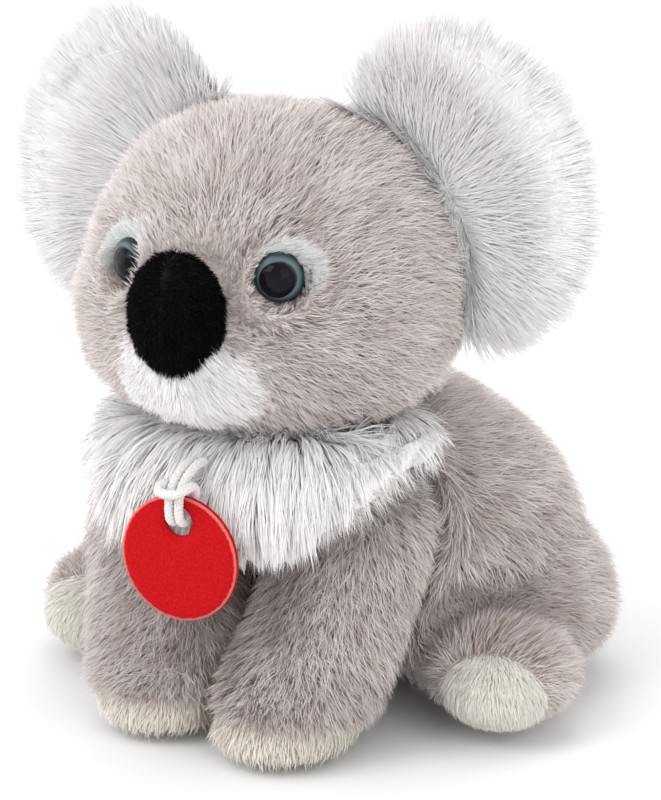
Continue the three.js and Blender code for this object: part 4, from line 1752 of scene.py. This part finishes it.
    def make(self) -> None:
        """Makes the bib's form and its coats."""
        form = form_of(["chest_bib"], voxel=1.3 * MM, inset=self.inset, rounds=10)
        cloth = finished(form, "bib_cloth", WHITE_CLOTH.material())
        self.keep(cloth, "white_plush", ["chest_bib"], fill=0.5)
        nodes = ["chest_bib", "body_belly_skin", "body_back_skin", "body_stuffing", "neck_stuffing"]
        ground = form_of(nodes, voxel=1.6 * MM, inset=self.inset, rounds=12)
        self.filled(ground)
        coat = Coat(
            length=self.pile_length,
            strands=21_000,
            comb=self.comb,
            cover=self.shown,
            seed=701,
            steps=3,
            reach=self.reach,
            stand=self.stand,
            width=0.32 * MM,
            roll=0.9,
            rise=0.32,
            lay=0.75,
            bend=0.6,
            droop=0.25,
            clump=6 * MM,
            pull=0.8,
            spread=0.5,
            swirl=0.4,
            swirl_size=16 * MM,
            stray=0.2,
            tone=lambda p, n: 0.6 + 0.14 * noise_of(p, 9 * MM, 4),
        )
        self.coats(ground, "bib_pile", WHITE, "white_plush", coat, count=2)


@dataclass
class Limb(Piece):
    """One leg: its form, its grey pile and the pale pile of its sole."""

    name: str = "foreleg_left"
    side: int = 1
    inset: float = 3.4 * MM
    pile_length: float = 6.9 * MM
    sole_length: float = 4.0 * MM
    sole_tilt: float = 16.0
    sole_more: tuple[float, float, float] = (4.9 * MM, 1.8 * MM, 3.7 * MM)
    sole_shift: float = 1.5 * MM
    paw_up: float = 4.5 * MM
    paw_soft: float = 1.5 * MM
    hind: bool = False

    def __post_init__(self) -> None:
        """Reads the places of the leg and its sole from the CAD nodes."""
        self.trunk, self.skin = Near(TRUNK), Near((f"{self.name}_skin",))
        self.low, self.high = box_of(f"{self.name}_skin")
        self.sole_middle, self.sole_half = middle_of(f"{self.name}_sole")

    def sole(self, places: np.ndarray, normals: np.ndarray) -> np.ndarray:
        """How far points belong to the sole.

        Args:
            places: The points.
            normals: Their normals.

        Returns:
            Shares from 0 to 1.
        """
        if self.hind:
            way = places - self.sole_middle
            way[:, 0] -= self.side * self.sole_shift
            tilt = math.radians(self.sole_tilt) * self.side
            long = way[:, 0] * math.cos(tilt) - way[:, 2] * math.sin(tilt)
            short = way[:, 0] * math.sin(tilt) + way[:, 2] * math.cos(tilt)
            half = self.sole_half + np.array(self.sole_more)
            away = np.hypot(long / half[0], short / half[2])
            return 1 - smoothstep(0.92, 1.08, np.hypot(away, 0.8 * way[:, 1] / half[1]))
        top = self.sole_middle[2] + self.sole_half[2] + self.paw_up
        front = places[:, 1] < self.sole_middle[1] + self.sole_half[1]
        return (1 - smoothstep(top - self.paw_soft, top + self.paw_soft, places[:, 2])) * front

    def comb(self, places: np.ndarray, normals: np.ndarray) -> np.ndarray:
        """The pile falls and lies a little outwards, and a hind leg's lies backwards, too."""
        way = (0.3 * self.side, 0.7, -0.5) if self.hind else (0.35 * self.side, -0.15, -1.0)
        return np.tile(way, (len(places), 1))

    def sole_comb(self, places: np.ndarray, normals: np.ndarray) -> np.ndarray:
        """The sole's short pile falls, and a paw's lies a little forwards."""
        way = (0.15 * self.side, 0.0, -1.0) if self.hind else (0.1 * self.side, -0.25, -1.0)
        return np.tile(way, (len(places), 1))

    def thigh(self, places: np.ndarray) -> np.ndarray:
        """How near points are to a hind leg's top, where the pile is longer and darker.

        Args:
            places: The points.

        Returns:
            Shares from 0 to 1.
        """
        if not self.hind:
            return np.zeros(len(places))
        front = 1 - smoothstep(self.sole_middle[1] + 20 * MM, self.sole_middle[1] + 50 * MM, places[:, 1])
        return smoothstep(self.high[2] - 24 * MM, self.high[2] - 8 * MM, places[:, 2]) * front

    def tone(self, places: np.ndarray, normals: np.ndarray) -> np.ndarray:
        """The pile is darker on a thigh's top, has painted shade on its inner sides near the floor, and is
        mottled all over.

        Args:
            places: The points.
            normals: Their normals.

        Returns:
            Places on the pile's range of tones.
        """
        # painted shade: the inner sides are darkened low down, between the legs
        inner = smoothstep(0.2, 0.8, -self.side * normals[:, 0])
        inner *= 1 - smoothstep(30 * MM, 50 * MM, places[:, 2])
        mottle = 0.16 * noise_of(places, 12 * MM, 31 + self.side)
        return 0.44 + mottle - 0.7 * self.thigh(places) - 0.15 * inner

    def reach(self, places: np.ndarray, normals: np.ndarray) -> np.ndarray:
        """The pile is short by the floor and round a hind foot's sole.

        Args:
            places: The points.
            normals: Their normals.

        Returns:
            Shares of the coat's length.
        """
        length = 0.3 + 0.7 * smoothstep(self.low[2] + 6 * MM, self.low[2] + 17 * MM, places[:, 2])
        if not self.hind:
            return length
        way = (places - self.sole_middle) / self.sole_half
        away = norms(way * np.array((1.0, 0.6, 1.0)))
        length *= 0.45 + 0.55 * smoothstep(1.0, 1.7, away)
        return length * (1 + 0.3 * self.thigh(places)) * (1 + 0.35 * self.crease(places))

    def crease(self, places: np.ndarray) -> np.ndarray:
        """How near points are to the crease between the leg and the body."""
        return self.trunk.close(4 * MM, 11 * MM, places)

    def own(self, places: np.ndarray) -> np.ndarray:
        """How far points belong to the leg and not to the body."""
        more = self.trunk.away(places) - self.skin.away(places)
        return smoothstep(-1 * MM, 1 * MM, more) if self.hind else np.ones(len(places))

    def grown(self, places: np.ndarray, normals: np.ndarray) -> np.ndarray:
        """Where the grey pile grows: not under the leg, on its sole or on the body."""
        above = 1 - 0.97 * smoothstep(0.75, 0.95, -normals[:, 2])
        return above * (1 - self.sole(places, normals)) * self.own(places)

    def ground(self, nodes: list[str]) -> bpy.types.Mesh:
        """The form that a hind leg's pile grows on, which fills the crease at the body.

        Args:
            nodes: The leg's CAD nodes.

        Returns:
            The form.
        """
        form = form_of([*nodes, *TRUNK], voxel=1.6 * MM, inset=self.inset, rounds=10)
        places = places_of(form)
        share = self.trunk.close(8 * MM, 18 * MM, places) * at_rear(places)
        filled_in(form, share, rounds=80)
        return form

    def make(self) -> None:
        """Makes the leg's form and its coats."""
        nodes = [f"{self.name}_skin", f"{self.name}_sole", f"{self.name}_stuffing"]
        form = form_of(nodes, voxel=1.4 * MM, inset=self.inset, rounds=10)
        cloth = finished(form.copy(), f"{self.name}_cloth", GREY_CLOTH.material())
        self.keep(cloth, "grey_plush", nodes, fill=0.8)
        ground = self.ground(nodes) if self.hind else form
        coat = Coat(
            length=self.pile_length,
            strands=31_000,
            comb=self.comb,
            cover=self.grown,
            seed=801 + 7 * self.side + 20 * self.hind,
            reach=self.reach,
            tone=self.tone,
            rise=0.92,
            clump=2.6 * MM,
            pull=0.6,
            swirl=0.75,
            **PLUSH,
        )
        self.coats(ground, f"{self.name}_pile", GREY, "grey_plush", coat)
        sole = Coat(
            length=self.sole_length,
            strands=5_000,
            comb=self.sole_comb,
            cover=self.sole,
            seed=901 + self.side,
            rise=0.45,
            lay=0.7,
            roll=1.0,
            clump=2.0 * MM,
            pull=0.3,
        )
        pile, slot = (SOLE, "white_plush") if self.hind else (CREAM, "cream_plush")
        self.coats(form, f"{self.name}_sole_pile", pile, slot, sole)


@dataclass
class Tag:
    """The round felt tag and the doubled cord that it hangs on."""

    radius: float = 15 * MM
    thickness: float = 2 * MM
    hole_radius: float = 3.6 * MM
    hole_drop: float = 6.2 * MM
    cord_diameter: float = 2.2 * MM
    braid_pitch: float = 5.2 * MM
    braid_step: float = 0.42 * MM
    strand_share: float = 0.15
    weave_share: float = 0.05
    core_share: float = 0.4
    strands: int = 6
    soft_edge: float = 0.45 * MM
    disc_sides: int = 96
    disc_rings: int = 10
    thread: float = 0.45 * MM

    RIGHT = (
        (1.25, -66.6, 72.45), (1.25, -69.2, 72.6), (1.25, -72.4, 71.9), (1.25, -75.6, 70.4),
        (1.25, -78.0, 68.2), (1.25, -78.9, 65.6), (1.25, -78.9, 62.9), (1.25, -78.2, 61.2),
        (1.25, -76.4, 60.4), (1.3, -74.6, 61.2), (1.6, -73.9, 62.9), (2.6, -73.9, 65.4),
        (3.2, -74.4, 67.8), (3.5, -76.4, 69.2), (3.3, -79.4, 69.2), (2.4, -81.4, 68.6),
    )
    MIDDLE = (0.0, -81.9, 68.4)

    @staticmethod
    def between(span: tuple[float, float], at: float, one: np.ndarray, other: np.ndarray) -> np.ndarray:
        """The point that lies as far from one to the other as `at` does in the span."""
        low, high = span
        return ((high - at) * one + (at - low) * other) / (high - low)

    def route(self, steps: int = 12) -> np.ndarray:
        """The cord's centreline, smooth through its chosen points.

        Args:
            steps: Points between two chosen ones.

        Returns:
            The points, in metres.
        """
        chosen = [*self.RIGHT, self.MIDDLE, *((-x, y, z) for x, y, z in reversed(self.RIGHT))]
        points = np.array(chosen) * MM
        ends = [2 * points[0] - points[1], *points, 2 * points[-1] - points[-2]]
        line = []
        for a, b, c, d in zip(ends, ends[1:], ends[2:], ends[3:]):
            knots = [0.0]
            for one, other in ((a, b), (b, c), (c, d)):
                knots.append(knots[-1] + max(np.linalg.norm(other - one), 1e-9) ** 0.5)
            for step in range(steps):
                at = knots[1] + (knots[2] - knots[1]) * step / steps
                ab = self.between(knots[0:2], at, a, b)
                bc = self.between(knots[1:3], at, b, c)
                cd = self.between(knots[2:4], at, c, d)
                first = self.between(knots[0:3:2], at, ab, bc)
                second = self.between(knots[1:4:2], at, bc, cd)
                line.append(self.between(knots[1:3], at, first, second))
        return np.array([*line, points[-1]])

    def braid(self, line: np.ndarray) -> bpy.types.Mesh:
        """The cord's braid: strands that wind both ways and pass over and under each other.

        Args:
            line: The centreline.

        Returns:
            The mesh.
        """
        lengths = np.concatenate(([0], np.cumsum(norms(np.diff(line, axis=0)))))
        count = int(lengths[-1] / self.braid_step)
        at = np.linspace(0, lengths[-1], count)
        line = np.stack([np.interp(at, lengths, line[:, axis]) for axis in range(3)], 1)
        tangents = unit(np.gradient(line, axis=0))
        normals = [unit(np.cross(tangents[0], (0.0, 0.3, 1.0)))]
        for tangent in tangents[1:]:
            normals.append(unit(normals[-1] - (normals[-1] @ tangent) * tangent))
        normals = np.array(normals)
        sides = np.cross(tangents, normals)
        strand = self.strand_share * self.cord_diameter
        shape = bmesh.new()
        for way in (1, -1):
            for index in range(self.strands):
                start = 2 * math.pi * index / self.strands
                turn = start + way * 2 * math.pi * at / self.braid_pitch
                weave = np.sin(2 * self.strands * math.pi * at / self.braid_pitch + way * start * 2)
                sway = self.weave_share * self.cord_diameter * way * weave
                reach = self.cord_diameter / 2 - strand + sway
                way_out = normals * np.cos(turn)[:, None] + sides * np.sin(turn)[:, None]
                self.tube(shape, line + way_out * reach[:, None], strand, around=6)
        self.tube(shape, line, self.core_share * self.cord_diameter, around=10)
        return written(shape, "braid")

    @staticmethod
    def tube(shape: bmesh.types.BMesh, line: np.ndarray, radius: float, around: int) -> None:
        """Adds a closed tube along a line.

        Args:
            shape: The mesh to add it to.
            line: Its centreline.
            radius: Its radius.
            around: The sides of its section.
        """
        tangents = unit(np.gradient(line, axis=0))
        normal = unit(np.cross(tangents[0], (0.1, 0.9, 0.4)))
        rings = []
        for place, tangent in zip(line, tangents):
            normal = unit(normal - (normal @ tangent) * tangent)
            side = np.cross(tangent, normal)
            turns = round_turns(around)
            ring = [place + radius * (normal * math.cos(t) + side * math.sin(t)) for t in turns]
            rings.append([shape.verts.new(point) for point in ring])
        for one, other in zip(rings, rings[1:]):
            bridge(shape, one, other)
        shape.faces.new(rings[0][::-1])
        shape.faces.new(rings[-1])

    def cotton(self) -> bpy.types.Material:
        """The cord's white cotton, with fine threads.

        Returns:
            The material.
        """
        material, graph, shader = new_material("white_cotton")
        threads = graph.noise(graph.place(), 3800.0, 4.0)
        graph.fill(shader, {
            "Base Color": graph.ramp(threads, ((0.25, "C9C4C0"), (0.75, "FFFFFF"))),
            "Normal": graph.bump(threads, 0.6, 0.2 * MM),
            "Roughness": 0.85,
            "Sheen Weight": 0.3,
        })
        return material

    def felt(self) -> bpy.types.Material:
        """The tag's red woven felt, with its pale pink cut edge.

        Returns:
            The material.
        """
        material, graph, shader = new_material("red_felt")
        place = graph.place()
        parts = graph.parts(place)
        low, high = box_of("tag_disc")
        middle = (low + high) / 2
        across = graph.math("SUBTRACT", parts[0], float(middle[0]))
        up = graph.math("SUBTRACT", parts[2], float(middle[2]))
        squares = [graph.math("MULTIPLY", way, way) for way in (across, up)]
        distance = graph.math("SQRT", graph.math("ADD", *squares))
        share = graph.math("DIVIDE", distance, self.radius)
        fuzz = graph.noise(place, 1500.0, 5.0)
        ragged = graph.math("MULTIPLY_ADD", graph.math("SUBTRACT", fuzz, 0.5), 0.05, share)
        red = graph.ramp(fuzz, ((0.3, "A6080F"), (0.7, "CD0F18")))
        ring = graph.ramp(ragged, ((0.955, "000000"), (0.975, "FFFFFF")))
        front = graph.math("LESS_THAN", parts[1], float(low[1]) + self.soft_edge)
        edge = graph.math("MULTIPLY", ring, front)
        turns = 2 * math.pi / self.thread
        waves = [graph.math("SINE", graph.math("MULTIPLY", parts[axis], turns)) for axis in (2, 0)]
        height = graph.math("MULTIPLY_ADD", graph.math("MULTIPLY", *waves), 0.4, fuzz)
        graph.fill(shader, {
            "Base Color": graph.mix(edge, red, rgb("DC706B")),
            "Normal": graph.bump(height, 0.5, 0.15 * MM),
            "Roughness": 0.92,
            "Specular IOR Level": 0.15,
        })
        return material

    def disc(self) -> bpy.types.Mesh:
        """The disc with its hole and softly rounded edges.

        Returns:
            The closed mesh.
        """
        low, high = (Vector(corner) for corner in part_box("tag_disc"))
        centre = (low + high) / 2
        hole_centre = Vector((0.0, 0.0, self.radius - self.hole_drop))
        rings = self.disc_rings
        shape = bmesh.new()
        outlines = []
        for ring in range(rings + 1):
            points = []
            for turn in round_turns(self.disc_sides):
                inner = hole_centre + self.hole_radius * Vector((math.cos(turn), 0, math.sin(turn)))
                outer = self.radius * Vector((math.cos(turn), 0, math.sin(turn)))
                points.append(inner.lerp(outer, ring / rings))
            outlines.append(points)
        edges = []
        for facing in (-1, 1):
            grid = []
            for ring, points in enumerate(outlines):
                sunk = self.soft_edge if ring in (0, rings) else 0.0
                lift = Vector((0, facing * (self.thickness / 2 - sunk), 0))
                grid.append([shape.verts.new(point + lift + centre) for point in points])
            for one, other in zip(grid, grid[1:]):
                bridge(shape, one, other)
            edges.append((grid[0], grid[-1]))
        for one, other in zip(*edges):
            bridge(shape, one, other)
        return written(shape, "disc")

    def make(self) -> None:
        """Makes the cord and the disc."""
        line = self.route()
        length = float(norms(np.diff(line, axis=0)).sum())
        cord = finished(self.braid(line), "tag_cord_braid", self.cotton())
        disc = finished(self.disc(), "tag_disc_felt", self.felt())
        Piece("tag_cord").keep(cord, "white_cord", ["tag_cord"])
        Piece("tag").keep(disc, "red_felt", ["tag_disc"])
        log.info("cord length %.1f mm", length / MM)


@dataclass
class Studio:
    """The floor, the light and the camera of the photograph."""

    azimuth: float = 26.0
    elevation: float = 14.5
    distance: float = 600 * MM
    target: tuple[float, float, float] = (12 * MM, -22 * MM, 78 * MM)
    lens: float = 110.2
    floor_size: float = 12.0

    LAMPS = (
        ("key", (-0.45, -0.85, 0.95), 0.7, 4.6),
        ("left", (-0.95, -0.4, 0.3), 0.8, 2.5),
        ("fill", (0.95, -0.6, 0.55), 0.9, 2.5),
        ("top", (0.0, 0.3, 1.2), 0.8, 2.5),
    )

    def toward(self) -> Vector:
        """The way from the target to the camera."""
        turn, rise = math.radians(self.azimuth), math.radians(self.elevation)
        return Vector((math.sin(turn) * math.cos(rise), -math.cos(turn) * math.cos(rise), math.sin(rise)))

    def camera(self) -> None:
        """Makes the camera at the photograph's angle."""
        data = bpy.data.cameras.new("camera")
        data.lens = self.lens
        data.clip_start = 0.01
        camera = placed("camera", data)
        camera.location = Vector(self.target) + self.distance * self.toward()
        camera.rotation_euler = (-self.toward()).to_track_quat("-Z", "Y").to_euler()
        bpy.context.scene.camera = camera

    def floor(self) -> None:
        """Makes the floor: white where it is seen, with painted shade near the toy, and its shadow."""
        half = self.floor_size / 2
        mesh = bpy.data.meshes.new("floor")
        corners = [(-half, -half, 0), (half, -half, 0), (half, half, 0), (-half, half, 0)]
        mesh.from_pydata(corners, [], [(0, 1, 2, 3)])
        material, graph, shader = new_material("floor")
        rays = graph.add("ShaderNodeLightPath").outputs
        seen = graph.math("MAXIMUM", rays["Is Camera Ray"], rays["Is Glossy Ray"])
        away = graph.vector("LENGTH", graph.place())
        # painted shade: the seen floor turns a little greyer near the toy
        near = graph.ramp(away, ((0.15, "F3F3F3"), (0.5, "FFFFFF")))
        colour = graph.mix(seen, (0.8, 0.79, 0.78, 1), near)
        graph.fill(shader, {"Base Color": colour, "Roughness": 1.0, "Specular IOR Level": 0.0})
        mesh.materials.append(material)
        placed("floor", mesh)

    def lamp(self, name: str, place: tuple[float, float, float], size: float, power: float) -> None:
        """Makes one soft square lamp that looks at the object.

        Args:
            name: Its name.
            place: Where it hangs.
            size: Its side.
            power: Its power in watts.
        """
        data = bpy.data.lights.new(name, "AREA")
        data.size = size
        data.energy = power
        lamp = placed(name, data)
        lamp.location = place
        way = Vector(self.target) - Vector(place)
        lamp.rotation_euler = way.to_track_quat("-Z", "Y").to_euler()

    def world(self) -> None:
        """Makes the world: plain soft white light."""
        world = bpy.data.worlds.new("world")
        bpy.context.scene.world = world
        world.use_nodes = True
        background = world.node_tree.nodes["Background"]
        background.inputs["Color"].default_value = (1, 1, 1, 1)
        background.inputs["Strength"].default_value = 1.0

    def make(self) -> None:
        """Makes the whole studio."""
        self.camera()
        self.floor()
        self.world()
        for lamp in self.LAMPS:
            self.lamp(*lamp)
        bpy.context.scene.view_settings.view_transform = "Standard"


class Washers(Enum):
    """The nylon washers behind the eyes, which keep their CAD shape."""

    LEFT = "eye_washer_left"
    RIGHT = "eye_washer_right"

    @staticmethod
    def dress() -> None:
        """Gives both washers their moulded nylon."""
        material, graph, shader = new_material("moulded_nylon")
        grain = graph.noise(graph.place(), 900.0, 2.0)
        colour = graph.ramp(grain, ((0.3, "CFCFCA"), (0.7, "DEDEDA")))
        graph.fill(shader, {"Base Color": colour, "Roughness": 0.45})
        for washer in Washers:
            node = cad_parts[washer.value]
            node.data.materials.clear()
            node.data.materials.append(material)


def main() -> None:
    """Builds the studio and every piece, in order."""
    logging.basicConfig(level=logging.INFO, format="%(message)s")
    Studio().make()
    Tag().make()
    Head().make()
    for name, side in SIDES:
        Ear(f"ear_{name}", name, side).make()
    bib = Bib()
    Body(bib=bib).make()
    bib.make()
    for name, side in SIDES:
        Limb(f"foreleg_{name}", f"foreleg_{name}", side).make()
        leg = f"hindleg_{name}"
        Limb(leg, leg, side, inset=HIND_INSETS[name], hind=True).make()
    Washers.dress()


if __name__ == "__main__":
    main()
